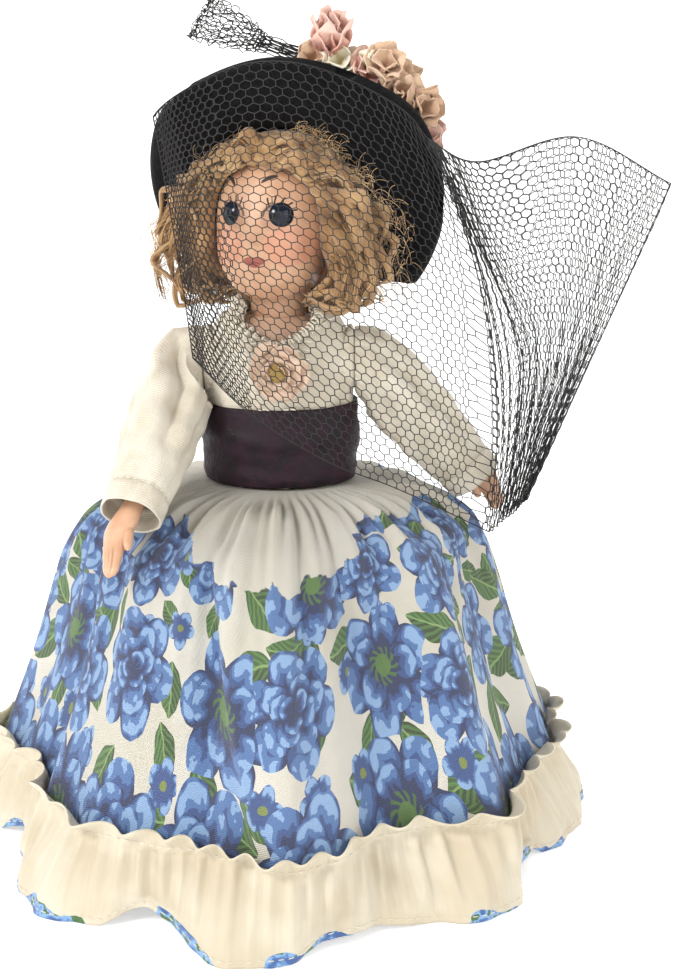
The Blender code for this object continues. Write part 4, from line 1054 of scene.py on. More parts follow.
upper_face = make_face("upper_face_paint", (0.0, 0.0, -head_turn), (0.0, 0.0, -(waist + neck_rise) / MM - 27.0))
lower_face = make_face("lower_face_paint", (0.0, math.pi, 0.0), (0.0, 0.0, (waist - neck_rise) / MM - 27.0))
skin = make_skin()
upper_glass = make_eye(
    "upper_eye_glass", (0.0, 0.0, -head_turn), (0.0, 0.0, -(waist + neck_rise) / MM - 27.0), 3.7
)
lower_glass = make_eye(
    "lower_eye_glass", (0.0, math.pi, 0.0), (0.0, 0.0, (waist - neck_rise) / MM - 27.0), -1.6
)

# %% [markdown]
# ## Heads
# The head is one hollow moulding. Its skin is a rounded egg with small hills and hollows for the
# nose, lips, chin, cheeks and eye sockets. A grid of directions round the head's middle, each
# pushed out by those hills, is quick to shape and keeps the paint free of seams.

# %% Head shape


def hill(across, along):
    return math.exp(-(across**2) - along**2)


def skin_reach(way, fine=True):
    """How far the skin lies from the head's middle in a direction."""
    x, y, z = way
    if fine and y < 0.0:
        x *= 1.0 + 0.13 * smooth(-1.3 * z)
    full = 2.0 + 0.9 * smooth(-1.6 * z)
    spread = abs(x / 15.5) ** full + abs(y / 17.5) ** full + abs(z / 19.5) ** full
    reach = spread ** (-1.0 / full)
    if y < 0.0:
        reach += 1.3 * hill(x / 0.13, (z + 0.06) / 0.15)
        reach += 0.6 * hill((abs(x) - 0.5) / 0.22, (z + 0.32) / 0.25)
        if fine:
            up = eye_up / 18.0
            lips = mouth_up / 18.0
            reach += 0.8 * hill(x / 0.085, (z - up + 0.30) / 0.075)
            reach += 0.22 * hill((abs(x) - eye_out / 14.3) / 0.26, (z - up) / 0.24)
            reach += 0.55 * hill(x / 0.15, (z - lips - 0.03) / 0.035)
            reach += 0.60 * hill(x / 0.11, (z - lips + 0.04) / 0.035)
            reach -= 0.35 * hill(x / 0.16, (z - lips + 0.12) / 0.05)
            reach += 1.5 * hill(x / 0.26, (z + 0.80) / 0.15)
            for side in (-1.0, 1.0):
                reach += 0.3 * hill((x - side * 0.085) / 0.04, (z - up + 0.36) / 0.04)
    return reach * MM


def way_down(angle, around):
    """A direction: an angle down from the crown, and round from the face."""
    return Vector(
        (math.sin(angle) * math.sin(around), -math.sin(angle) * math.cos(around), math.cos(angle))
    )


def make_head(doll, place, finish):
    many = 216
    chin = math.radians(152)
    rows = [[head_middle + Vector((0.0, 0.0, skin_reach(Vector((0.0, 0.0, 1.0)))))]]
    for j in range(1, 133):
        ways = [way_down(chin * j / 132, math.tau * i / many) for i in range(many)]
        rows.append([head_middle + way * skin_reach(way) for way in ways])
    for height in (8.6, 6.0, 3.0, 0.2):
        flare = 0.4 * smooth(height, 5.0, 8.6)
        ring = [math.tau * i / many for i in range(many)]
        reach = (7.3 + flare) * MM
        rows.append([Vector((reach * math.sin(a), -reach * math.cos(a), height * MM)) for a in ring])
    head = sheet_piece(doll + "_face", moved(place, rows), finish, doll + "_head", wall=0.9 * MM)
    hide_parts(doll + "_head")
    return head


def make_eyes(doll, finish):
    """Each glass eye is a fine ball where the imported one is."""
    for side in ("left", "right"):
        low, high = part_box(f"{doll}_{side}_eye")
        bm = bmesh.new()
        bmesh.ops.create_uvsphere(bm, u_segments=48, v_segments=32, radius=4.2 * MM)
        bmesh.ops.translate(bm, vec=(low + high) / 2, verts=bm.verts)
        mesh = bpy.data.meshes.new(f"{doll}_{side}_glass")
        bm.to_mesh(mesh)
        bm.free()
        eye = finished(f"{doll}_{side}_glass", mesh, finish, doll + "_eyes")
        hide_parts(f"{doll}_{side}_eye")


make_head("upper", upper_neck, upper_face)
make_head("lower", lower_neck, lower_face)
make_eyes("upper", upper_glass)
make_eyes("lower", lower_glass)

# %% [markdown]
# ## Mohair
# A mohair wig is a cap of combed fibres, curled where it leaves the hat. The cap below is a soft
# surface with a fibre pattern, and some hundreds of fine locks, each its own little tube, give it
# the fuzzy outline. The tone of each lock is kept on its points and read by the material.

# %% Hair finishes


def make_mohair(name, tones):
    finish = Finish(name, Roughness=0.55, Sheen_Weight=0.3, Sheen_Roughness=0.4)
    tone = finish.node("ShaderNodeAttribute", {"attribute_name": "tone"}, output=2)
    speck = finish.noise(finish.at("Object"), 700.0, 2.0)
    shade = (tone * 0.75 + speck * 0.35).ramp(0.15, 0.95)
    finish.feed(Base_Color=finish.colours(shade, (0.0, tones[0]), (0.5, tones[1]), (1.0, tones[2])))
    return finish


def make_combed(name, tones, along=(8.0, 260.0, 1.0), broad=(22.0, 9.0, 1.0)):
    """Combed fibres on a UV map: fine across it and long the other way."""
    finish = Finish(name, Roughness=0.5, Sheen_Weight=0.3, Sheen_Roughness=0.4)
    fibres = finish.noise(finish.at("UV", along), 1.0, 4.0, 0.7)
    waves = finish.noise(finish.at("UV", broad), 1.0, 2.0)
    patches = finish.noise(finish.at("Object"), 110.0, 2.0)
    shade = (fibres * 0.55 + waves * 0.25 + patches * 0.45).ramp(0.38, 0.88)
    finish.feed(Base_Color=finish.colours(shade, (0.0, tones[0]), (0.5, tones[1]), (1.0, tones[2])))
    return finish.bump(fibres + waves * 0.5, 0.5 * MM, 0.8)


honey = ((0.13, 0.060, 0.020), (0.42, 0.235, 0.095), (0.70, 0.48, 0.24))
chestnut = ((0.025, 0.010, 0.005), (0.085, 0.036, 0.018), (0.20, 0.10, 0.05))
honey_hair = make_mohair("honey_mohair", honey)
chestnut_hair = make_mohair("chestnut_mohair", chestnut)
honey_cap = make_combed("honey_combed", honey)
chestnut_cap = make_combed("chestnut_combed", chestnut)
honey_curls = make_combed("honey_curls", honey, (26.0, 1.6, 1.0), (2.0, 1.0, 1.0))
chestnut_curls = make_combed("chestnut_curls", chestnut, (26.0, 1.6, 1.0), (2.0, 1.0, 1.0))

# %% Wig caps and locks
hat_front = Vector((0.0, -math.cos(hat_tilt), -math.sin(hat_tilt)))


def face_way(angle, around):
    """A direction: an angle back from the face, and round from the crown towards the left ear."""
    return Vector(
        (math.sin(angle) * math.sin(around), -math.cos(angle), math.sin(angle) * math.cos(around))
    )


def hairline(around, top, side, nape):
    down = smooth(abs(around), math.radians(105), math.radians(175))
    sideways = math.sin(min(abs(around), math.pi / 2))
    return math.radians(between(between(top, side, sideways), nape, down))


def long_hair(way):
    """The long wig's outline: close under the hat, puffed out beside the face."""
    front = smooth(way.dot(hat_front) + 0.12, 0.0, 0.38)
    low = smooth(0.75 - way.z, 0.0, 0.9)
    curl = math.sin(9.0 * math.atan2(way.x, -way.y) + 4.0 * way.z) * math.sin(7.0 * way.z + 2.0 * way.x)
    puff = between(11.5, 15.0, smooth(way.x, -0.4, 0.4)) * MM
    reach = 22.9 * MM + puff * front * low * (0.90 + 0.10 * curl) + 1.2 * MM * front
    if way.z < 0.0:
        reach = min(reach, 20.5 * MM / -way.z)
    return max(reach, skin_reach(way, False) + 2.4 * MM)


def short_hair(way):
    return 23.3 * MM + 0.3 * MM * math.sin(14 * math.atan2(way.x, way.z))


def make_wig_cap(doll, place, hair, opening, finish):
    many = 128
    steps = 40
    outer = []
    inner = []
    for j in range(steps):
        outer_row = []
        inner_row = []
        for i in range(many):
            around = math.tau * i / many
            around = around - math.tau if around > math.pi else around
            way = face_way(between(hairline(around, *opening), math.pi, j / steps), around)
            bare = skin_reach(way, False) + 0.5 * MM
            full = hair(way) + 0.5 * MM * noise.noise(way * 9.0)
            outer_row.append(head_middle + way * between(bare + 0.7 * MM, full, smooth(0.3 + 1.6 * j / steps)))
            inner_row.append(head_middle + way * bare)
        outer.append(outer_row)
        inner.append(inner_row)
    back = face_way(math.pi, 0.0)
    rows = [[head_middle + back * (skin_reach(back, False) + 0.5 * MM)]]
    rows += inner[::-1] + outer + [[head_middle + back * hair(back)]]

    def uv(row, column):
        return column / many * 0.9, row / steps * 0.06

    wig = sheet_piece(doll + "_hair_cap", moved(place, rows), finish, doll + "_head", uv)
    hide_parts(doll + "_wig")
    return wig


def make_lock(dice, hair, opening, length, curl):
    """One curled lock: it runs down beside the face, over the cap, and its tip turns inwards."""
    side = dice.choice((-1.0, 1.0))
    around = side * math.radians(dice.uniform(0.0, 128.0))
    start = hairline(around, *opening) + math.radians(dice.uniform(-2.0, 34.0))
    lift = dice.uniform(0.35, 1.03)
    phase = dice.uniform(0.0, math.tau)
    turns = dice.uniform(0.7, 1.4)
    drift = dice.uniform(-0.05, 0.16)
    points = []
    for k in range(17):
        share = k / 16
        at_angle = start + drift * share
        at_around = around + side * length * share / 26.0
        if abs(at_around) > math.radians(165):
            at_around = side * math.radians(165)
        way = face_way(at_angle, at_around)
        bare = skin_reach(way, False) + 0.8 * MM
        reach = between(bare, max(hair(way), bare), lift * smooth(share, -0.35, 0.6))
        swirl = phase + math.tau * turns * share
        wave = curl * MM * (0.5 + 0.8 * share)
        reach += wave * math.cos(swirl) * 0.6 - wave * 0.5 * smooth(share, 0.6, 1.0)
        spread = face_way(at_angle, at_around + math.pi / 2)
        points.append(head_middle + way * reach + (spread * 0.3 + Vector((0, 0, 1))) * wave * math.sin(swirl))
    return points


def clump_rows(lock, wide):
    """A flat, twisting tube along a lock: broad in the middle and pointed at both ends."""
    rows = []
    last = len(lock) - 1
    for k, point in enumerate(lock):
        share = k / last
        way = (lock[min(k + 1, last)] - lock[max(k - 1, 0)]).normalized()
        out = (point - head_middle).normalized()
        side = way.cross(out).normalized()
        out = side.cross(way)
        reach = wide * (math.sin(math.pi * between(0.06, 0.97, share)) ** 0.6)
        row = []
        for i in range(13):
            turn = math.tau * i / 12
            groove = 1.0 + 0.10 * math.cos(5 * turn + 6.0 * share)
            row.append(point + (side * math.cos(turn) + out * math.sin(turn) * 0.5) * reach * groove)
        rows.append(row)
    return rows


def make_clumps(doll, place, hair, opening, finish, many, length, curl, wide):
    """Broad soft locks that lie over each other round the face and hide the cap's edge."""
    dice = random.Random(31 if doll == "upper" else 32)
    patches = []
    for _ in range(many):
        lock = make_lock(dice, hair, opening, dice.uniform(0.7, 1.0) * length, dice.uniform(0.6, 1.2) * curl)
        patches.append(moved(place, clump_rows(lock, dice.uniform(0.6, 1.15) * wide)))
    patches_piece(doll + "_hair_clumps", patches, finish, doll + "_head", 0.0)


def before_felt(point):
    """A loose hair stays in front of the hat brim, whose rim lies in the hat's own level."""
    local = hat_place.inverted() @ point
    local.z = max(local.z, 0.8 * MM)
    return hat_place @ local


def make_wisps():
    """Loose curly hairs that leave the locks and cling to the felt brim, most of them on the left."""
    dice = random.Random(41)
    lines = []
    tones = []
    for _ in range(170):
        side = 1.0 if dice.random() < 0.8 else -1.0
        around = side * math.radians(dice.uniform(20.0, 120.0))
        angle = hairline(around, *upper_opening) + math.radians(dice.uniform(8.0, 40.0))
        phase = dice.uniform(0.0, math.tau)
        turns = dice.uniform(1.0, 2.6)
        far = dice.uniform(2.0, 7.5) * MM
        loop = dice.uniform(0.7, 1.7) * MM
        slide = dice.uniform(-0.25, 0.35)
        line = []
        for k in range(19):
            share = k / 18
            way = face_way(angle + 0.15 * share, around + slide * share)
            swirl = phase + math.tau * turns * share
            spread = face_way(math.pi / 2, around + math.pi / 2)
            point = way * (long_hair(way) - 1.0 * MM + far * share + loop * math.cos(swirl) * share)
            line.append(before_felt(upper_neck @ (head_middle + point + spread * loop * math.sin(swirl))))
        lines.append(line)
        tones.append(dice.uniform(0.35, 0.95))
    web_piece(
        "hair_wisps", lines, honey_hair, "upper_head", threads, tones, Radius=0.07 * MM, Sides=3
    )


def make_locks(doll, place, hair, opening, finish, many, hairs, length, curl, radius):
    """Each lock is a bundle of hairs that share its curl and draw together at the tip."""
    dice = random.Random(31 if doll == "upper" else 32)
    lines = []
    tones = []
    for _ in range(many):
        lock = make_lock(dice, hair, opening, dice.uniform(0.55, 1.0) * length, dice.uniform(0.6, 1.2) * curl)
        shade = dice.uniform(0.15, 0.85)
        for _ in range(hairs):
            shift = Vector([max(min(dice.gauss(0.0, 0.75), 1.6), -1.6) for _ in range(3)]) * MM
            stray = Vector([max(min(dice.gauss(0.0, 0.5), 1.2), -1.2) for _ in range(3)]) * MM
            shorter = dice.randint(12, 17)
            line = []
            for k, point in enumerate(lock[:shorter]):
                share = k / 16
                line.append(place @ (point + shift * (1.15 - 0.7 * share) + stray * share * share))
            lines.append(line)
            tones.append(min(max(shade + dice.gauss(0.0, 0.16), 0.0), 1.0))
    return web_piece(
        doll + "_hair_locks", lines, finish, doll + "_head", threads, tones, Radius=radius * MM, Sides=3
    )


upper_opening = (50, 60, 138)
lower_opening = (48, 66, 138)
make_wig_cap("upper", upper_neck, long_hair, upper_opening, honey_cap)
make_wig_cap("lower", lower_neck, short_hair, lower_opening, chestnut_cap)
make_clumps("upper", upper_neck, long_hair, upper_opening, honey_curls, 150, 17.0, 1.5, 1.9 * MM)
make_clumps("lower", lower_neck, short_hair, lower_opening, chestnut_curls, 60, 9.0, 0.5, 1.3 * MM)
make_locks("upper", upper_neck, long_hair, upper_opening, honey_hair, 150, 9, 17.0, 1.5, 0.085)
make_locks("lower", lower_neck, short_hair, lower_opening, chestnut_hair, 60, 6, 9.0, 0.5, 0.10)
make_wisps()

# %% [markdown]
# ## Halo hat
# The hat is black felt: a shallow cap over the back of the wig and a wide round brim that stands
# behind the face like a halo, its edge rolled back. It is spun from rings in the hat's own frame and
# cut off straight behind the neck.

# %% Felt hat


def make_felt():
    finish = Finish("black_felt", Roughness=0.95, Specular_IOR_Level=0.15, Sheen_Weight=0.02, Sheen_Roughness=0.6)
    place = finish.at()
    mat = finish.noise(place, 900.0, 4.0, 0.7)
    lint = finish.noise(place, 2600.0, 2.0) > 0.66
    colour = finish.mix(mat.ramp(0.35, 0.7), (0.0015, 0.0015, 0.002), (0.007, 0.0065, 0.0065))
    finish.feed(Base_Color=finish.mix(lint * 0.2, colour, (0.06, 0.055, 0.05)))
    return finish.bump(mat + finish.noise(place, 240.0) * 0.8, 0.35 * MM, 0.8)


felt = make_felt()
brim_rows = (
    # share of the way from the crown to the rim, and how far behind the brim's plane in mm
    (0.00, 1.44),
    (0.12, 0.25),
    (0.50, 0.00),
    (0.90, 0.05),
    (1.00, 1.40),
)
hat_radius = 38.7 * MM
felt_thick = 1.6 * MM


def sunk(point):
    """The brim's top edge bends down a little, as in the photo."""
    return point - Vector((0.0, 6.5 * MM * smooth(point.y, 15.0 * MM, hat_radius), 0.0))


def hat_ring(middle, reach, many):
    turns = [math.tau * i / many for i in range(many)]
    return [middle + Vector((math.sin(a), math.cos(a), 0.0)) * reach for a in turns]


def make_hat():
    many = 180
    head = hat_place.inverted() @ (upper_neck @ head_middle)
    sphere = 25.3 * MM
    crown = math.sqrt(sphere**2 - head.z**2)
    edge = math.acos(head.z / sphere)
    rows = [[head + Vector((0.0, 0.0, -sphere))]]
    for j in range(1, 24):
        angle = edge * 0.92 * j / 23
        rows.append(hat_ring(head + Vector((0.0, 0.0, -sphere * math.cos(angle))), sphere * math.sin(angle), many))
    for j in range(28):
        share = j / 27
        behind = sampled(brim_rows, share)[0] * MM
        row = []
        for i in range(many):
            turn = math.tau * i / many
            way = Vector((math.sin(turn), math.cos(turn), 0.0))
            start = Vector((head.x, head.y, 0.0)) + way * crown
            wave = 0.35 * MM * math.cos(5 * turn + 1.0) * share
            row.append(start.lerp(way * hat_radius, share) + Vector((0.0, 0.0, wave - behind)))
        rows.append(row)
    for bend in (0.5, 1.0, 1.5, 2.0, 2.5):
        reach = hat_radius - 0.5 * MM * (1.0 - math.cos(bend))
        rows.append(hat_ring(Vector((0.0, 0.0, -(1.4 + 0.55 * bend) * MM)), reach, many))
    rows = [[sunk(point) for point in row] for row in rows]
    hat = sheet_piece("felt_hat", rows, felt, None, flip=False)
    bm = bmesh.new()
    bm.from_mesh(hat.data)
    whole = bm.verts[:] + bm.edges[:] + bm.faces[:]
    bmesh.ops.bisect_plane(bm, geom=whole, plane_co=(0, -24.0 * MM, 0), plane_no=(0, -1, 0), clear_outer=True)
    top = max(bm.faces, key=lambda face: -face.calc_center_median().z)
    if top.normal.z > 0.0:
        bmesh.ops.reverse_faces(bm, faces=bm.faces)
    bmesh.ops.transform(bm, matrix=hat_place, verts=bm.verts)
    bm.to_mesh(hat.data)
    bm.free()
    thick = hat.modifiers.new("wall", "SOLIDIFY")
    thick.thickness = felt_thick
    thick.offset = -1.0
    round_edge = hat.modifiers.new("soft_edge", "BEVEL")
    round_edge.width = 0.5 * MM
    round_edge.segments = 2
    round_edge.angle_limit = math.radians(50)
    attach(hat, "upper_head")
    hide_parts("halo_hat")
    return hat


make_hat()

# %% [markdown]
# ## Arms and hands
# Each arm is one stiff plastic moulding that turns on its flat shoulder. Rings along a bent line
# give the arm, flattened rings give the palm, and three shallow furrows part the fingers. The thumb
# is a short lobe on the inner side.

# %% Arm shapes
shoulder_rise = 33.0 * MM
arm_face = 19.8 * MM
upper_shoulder = upper @ Matrix.Translation((0.0, 0.0, shoulder_rise))
lower_shoulder = lower @ Matrix.Translation((0.0, 0.0, shoulder_rise))
arm_rows = (
    # share along the forearm, half width and half depth in mm
    (0.00, 4.46, 4.46),
    (0.14, 3.60, 3.60),
    (0.30, 3.15, 3.10),
    (0.55, 2.90, 2.85),
    (0.70, 2.75, 2.55),
    (0.76, 3.70, 2.60),
    (0.81, 3.90, 2.45),
    (0.86, 3.10, 2.15),
    (0.92, 2.55, 1.75),
    (0.97, 2.20, 1.40),
    (0.992, 1.40, 0.85),
    (1.00, 0.45, 0.35),
)


def square_to(way):
    """Two directions square to a way: across the palm, and along its thickness."""
    along = Vector((0.0, 0.0, 1.0)).cross(way).normalized()
    return way.cross(along).normalized(), along


def oval_ring(middle, way, wide, deep, many, swell=None, twist=0.0):
    broad, thin = square_to(way)
    across = broad * math.cos(twist) + thin * math.sin(twist)
    along = thin * math.cos(twist) - broad * math.sin(twist)
    points = []
    for i in range(many):
        turn = math.tau * i / many
        scale = swell(turn) if swell else 1.0
        points.append(middle + (across * math.cos(turn) * wide + along * math.sin(turn) * deep) * scale)
    return points


def furrows(turn, share):
    """Three furrows between the fingers, on both faces of the hand."""
    place = math.cos(turn)
    depth = sum(math.exp(-(((place - mark) / 0.09) ** 2)) for mark in (-0.48, 0.0, 0.48))
    return 1.0 - 0.30 * depth * smooth(share, 0.86, 0.93)


def make_arm(doll, side, sign, place, hand, twist):
    """Twist turns the palm about the forearm; the hand bows a little away from its thumb."""
    start = Vector((sign * arm_face, 0.0, 0.0))
    knee = start + Vector((sign * 4.8 * MM, 0.0, 0.0))
    rows = [[start]]
    for share in (0.0, 0.04, 0.25, 0.5, 0.75):
        point = start.lerp(knee, share).lerp(knee.lerp(hand, 0.12), share)
        way = Vector((sign, 0.0, 0.0)).lerp((hand - knee).normalized(), share).normalized()
        reach = (4.3 if share == 0.0 else 4.75) * MM
        rows.append(oval_ring(point, way, reach, reach, 48))
    way = (hand - knee).normalized()
    inner = thumb_way(way, sign, twist)
    for j in range(60):
        share = between(0.14, 1.0, j / 59)
        wide, deep = sampled(arm_rows, share)
        middle = knee.lerp(hand, share) - inner * hand_bow(share)
        turned = twist * smooth(share, 0.14, 0.6)
        rows.append(oval_ring(middle, way, wide * MM, deep * MM, 48, lambda a, s=share: furrows(a, s), turned))
    rows.append([hand])
    arm = sheet_piece(f"{doll}_{side}_hand", moved(place, rows), skin, f"{doll}_{side}_arm", flip=True)
    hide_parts(f"{doll}_{side}_arm")
    make_thumb(doll, side, place, knee, hand, inner)


def thumb_way(way, sign, twist):
    """The direction across the palm that points to the thumb, on the body's side."""
    broad, thin = square_to(way)
    across = broad * math.cos(twist) + thin * math.sin(twist)
    return across if across.x * sign < 0.0 else -across


def hand_bow(share):
    return 1.9 * MM * math.sin(math.pi * smooth(share, 0.66, 1.0))


def make_thumb(doll, side, place, knee, hand, inner):
    """A short lobe that leaves the palm on its inner side and points to the fingertips."""
    root = knee.lerp(hand, 0.785) + inner * 0.9 * MM
    tip = knee.lerp(hand, 0.89) + inner * 2.9 * MM
    lean = (tip - root).normalized()
    rows = [[root]]
    for share, reach in ((0.0, 0.8), (0.15, 1.25), (0.45, 1.3), (0.75, 1.15), (0.92, 0.75)):
        rows.append(oval_ring(root.lerp(tip, share), lean, reach * MM, reach * MM, 16))
    rows.append([tip])
    sheet_piece(f"{doll}_{side}_thumb", moved(place, rows), skin, f"{doll}_{side}_arm", flip=True)


hands = (
    ("upper", "right", -1, upper_shoulder, Vector((-0.0400, -0.0488, -0.0448)), 18.0 * MM, math.radians(75)),
    ("upper", "left", 1, upper_shoulder, Vector((0.0600, 0.0040, -0.0420)), 11.5 * MM, 0.0),
)


# %% [markdown]
# ## Sleeves
# A sleeve is a wide tube of faille, gathered into the armhole and hemmed at an open cuff. Soft folds
# run down it and shallow creases cross it at the elbow, as cloth does over a bent arm.

# %% Sleeve cloth and sleeve shapes


def make_ribbed_cloth():
    """Ivory faille with fine ribs that run round the sleeve and across the blouse."""
    finish = Finish("ivory_faille", Roughness=0.78, Sheen_Weight=0.25, Sheen_Roughness=0.5)
    place = finish.at("UV")
    _, down, _ = finish.split(place)
    grain = finish.noise(finish.at(), 1500.0, 3.0, 0.7)
    ribs = (down * (math.tau / (0.62 * MM)) + grain * 2.0).sine() * 0.5 + 0.5
    tint = aged(finish, finish.at(), (0.54, 0.48, 0.375), (0.66, 0.61, 0.51), 110.0)
    finish.feed(Base_Color=finish.mix(ribs * 0.24 + grain * 0.10, tint, (0.42, 0.36, 0.27)))
    creases = finish.noise(finish.at("UV", (260.0, 130.0, 1.0)), 1.0, 3.0, 0.55)
    return finish.bump(ribs * 0.14 + creases * 1.7 + grain * 0.15, 0.5 * MM, 0.8)


ribbed_cloth = make_ribbed_cloth()
sleeve_rows = (
    # share along the sleeve, half width in mm, how much the gathers show, how much the folds show
    (0.00, 8.1, 1.0, 0.1),
    (0.04, 8.9, 0.8, 0.2),
    (0.12, 9.5, 0.4, 0.5),
    (0.30, 9.8, 0.1, 1.0),
    (0.55, 9.5, 0.0, 1.0),
    (0.80, 8.6, 0.0, 0.7),
    (0.93, 7.8, 0.1, 0.4),
    (1.00, 7.6, 0.1, 0.3),
)


def sleeve_place(sign, hand, beyond):
    """The sleeve's middle line: from the armhole over the shoulder to the cuff."""
    side_way = Vector((sign, 0.0, 0.0))
    start = side_way * arm_face
    lean = (hand - start - side_way * 4.8 * MM).normalized()
    cuff = hand - lean * beyond
    bend = (side_way * 0.65 + lean * 0.35).normalized()
    clear = 9.4 * MM * math.sqrt(1.0 - bend.x**2)
    puff = start + side_way * (clear + 0.3 * MM) + lean * 2.82 * MM
    return start, puff, cuff, side_way, bend, lean


def deep_fold(turn, share, middle):
    """One long soft fold that leaves the armhole and dies out below the elbow."""
    away = math.remainder(turn - middle - 0.5 * share, math.tau)
    shown = smooth(share, 0.08, 0.25) * (1.0 - smooth(share, 0.55, 0.85))
    return shown * (0.13 * hill((away + 0.62) / 0.36, 0.0) - 0.30 * hill(away / 0.26, 0.0))


def sleeve_ring(sign, hand, beyond, share, many, proud=0.0):
    start, puff, cuff, side_way, bend, lean = sleeve_place(sign, hand, beyond)
    shoulder = 0.16
    if share < shoulder:
        part = share / shoulder
        middle = start.lerp(puff, part)
        way = side_way.lerp(bend, part).normalized()
    else:
        part = (share - shoulder) / (1.0 - shoulder)
        middle = puff.lerp(cuff, part)
        way = bend.lerp(lean, smooth(part, 0.0, 0.25)).normalized()
    wide, gathers, folds = sampled(sleeve_rows, share)
    crease = smooth(share, 0.35, 0.5) * (1.0 - smooth(share, 0.62, 0.85))

    def swell(turn):
        wave = 0.065 * math.cos(5 * turn + 2.4 * share) * folds + 0.032 * math.cos(30 * turn) * gathers
        wave += deep_fold(turn, share, 0.45 if sign < 0 else -1.0)
        wave += 0.035 * crease * math.sin(34.0 * share + 1.5 * math.cos(turn))
        wave += 0.022 * math.cos(11 * turn + 6.0 * share) * folds
        pucker = 0.012 * math.cos(19 * turn + 1.5 * math.cos(3 * turn))
        wave += (pucker - 0.07) * hill((share - 0.885) / 0.012, 0.0) + 0.035 * smooth(share, 0.90, 0.92)
        return 1.0 + wave + proud / (wide * MM)

    return oval_ring(middle, way, wide * MM, wide * MM, many, swell)


def make_sleeve(doll, side, sign, place, hand, beyond):
    many = 120
    drops = 110
    rows = [sleeve_ring(sign, hand, beyond, j / drops, many) for j in range(drops + 1)]
    length = (rows[0][0] - rows[-1][0]).length

    def uv(row, column):
        return 0.058 * column / many, length * row / drops

    name = f"{doll}_{side}_sleeve"
    sleeve = sheet_piece(name + "_cloth", moved(place, rows), ribbed_cloth, f"{doll}_{side}_arm", uv, wall=0.5 * MM)
    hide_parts(name)
    hem = sleeve_ring(sign, hand, beyond, 0.89, 240, 0.25 * MM)
    line = [place @ point for point in hem + hem[:1]]
    seam = web_piece(
        name + "_hem", [line], lace, f"{doll}_{side}_arm", stitches, Step=1.9 * MM, Length=1.2 * MM, Radius=0.14 * MM
    )


lower_reach = Vector((0.0420, -0.0290, 0.0450))
hands += (
    ("lower", "left", 1, lower_shoulder, lower_reach, 11.5 * MM, 0.0),
    ("lower", "right", -1, lower_shoulder, Vector((-lower_reach.x, lower_reach.y, lower_reach.z)), 11.5 * MM, 0.0),
)
for doll, side, sign, place, hand, beyond, twist in hands:
    make_arm(doll, side, sign, place, hand, twist)
    make_sleeve(doll, side, sign, place, hand, beyond)

# %% [markdown]
# ## Bodice
# The blouse is a close bodice with a V neck. Looped picot lace stands up along the neck and runs
# down the front to the sash; a ruffled organza flower with a yellow knot is pinned at the throat.
# The sash is a wide velvet band that lies in soft folds round the waist.

# %% Bodice shapes
torso_rows = (
    # share of the height, half width, half depth, and share of the V neck
    (0.00, 16.5, 12.5, 0.00),
    (0.50, 17.2, 12.85, 0.00),
    (0.70, 17.5, 13.0, 0.00),
    (0.84, 16.6, 12.57, 0.10),
    (0.94, 13.5, 11.0, 0.45),
    (1.00, 8.7, 8.7, 1.00),
)
torso_height = 45.0 * MM


def body_point(turn, height, ease, drop=0.0):
    """A place round the torso, the ease outside it. The turn starts at the left side."""
    front = max(0.0, 1.0 - abs(math.remainder(turn + math.pi / 2, math.tau)) / 0.95)
    at = height - drop * front
    wide, deep, _ = sampled(torso_rows, at / torso_height)
    return Vector(((wide * MM + ease) * math.cos(turn), (deep * MM + ease) * math.sin(turn), at))


def blouse_point(turn, share, proud=0.0):
    neck = sampled(torso_rows, share)[2]
    height = max(share * torso_height, 1.6 * MM)
    gather = 0.28 * MM * math.cos(34 * turn + 2.0 * math.sin(3 * turn)) * smooth(neck, 0.02, 0.4)
    soft = 0.25 * MM * math.cos(9 * turn + 5.0 * share)
    point = body_point(turn, height, 1.8 * MM + gather + soft * (1.0 - neck) + proud, 9.5 * MM * neck)
    point.z += 1.8 * MM * smooth(1.6 * neck)
    return point


def make_blouse(doll, place):
    many = 144
    drops = 60
    rows = []
    for j in range(drops + 1):
        rows.append([blouse_point(-math.tau * i / many, 1.0 - j / drops) for i in range(many)])

    def uv(row, column):
        return 0.105 * column / many, 0.050 * row / drops

    blouse = sheet_piece(doll + "_bodice", moved(place, rows), ribbed_cloth, "body", uv, wall=0.5 * MM)
    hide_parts(doll + "_blouse")
    return blouse


def make_neck_lace(place):
    """Two rows of picot rings along the V neck, their cord, and the strip down the front."""
    turns = [math.tau * i / 160 for i in range(161)]
    edge = [place @ (blouse_point(a, 1.0, 0.5 * MM) + Vector((0, 0, 0.5 * MM))) for a in turns]
    high = [place @ (blouse_point(a, 1.0, 1.1 * MM) + Vector((0, 0, 1.3 * MM))) for a in turns]
    low = [place @ (blouse_point(a, 0.95, 0.7 * MM)) for a in turns]
    cord = web_piece("neckline_cord", [edge, low], lace, "body", threads, Radius=0.26 * MM, Sides=6)
    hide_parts("neckline_lace")
    web_piece(
        "neckline_picots", [high, edge], lace, "body", stitches,
        Step=2.1 * MM, Length=1.15 * MM, Radius=0.25 * MM, Ring=True,
    )
    strips = []
    for lean in (-1.0, 1.0):
        for offset in (0.0, 1.5):
            strip = []
            for k in range(40):
                share = between(0.90, 0.50, k / 39)
                turn = -math.pi / 2 + lean * (0.10 + 0.22 * smooth(share, 0.5, 0.95) + offset * 0.07)
                strip.append(place @ blouse_point(turn, share, 0.75 * MM))
            strips.append(strip)
    web_piece(
        "front_picots", strips, lace, "body", stitches,
        Step=2.0 * MM, Length=1.0 * MM, Radius=0.22 * MM, Ring=True,
    )


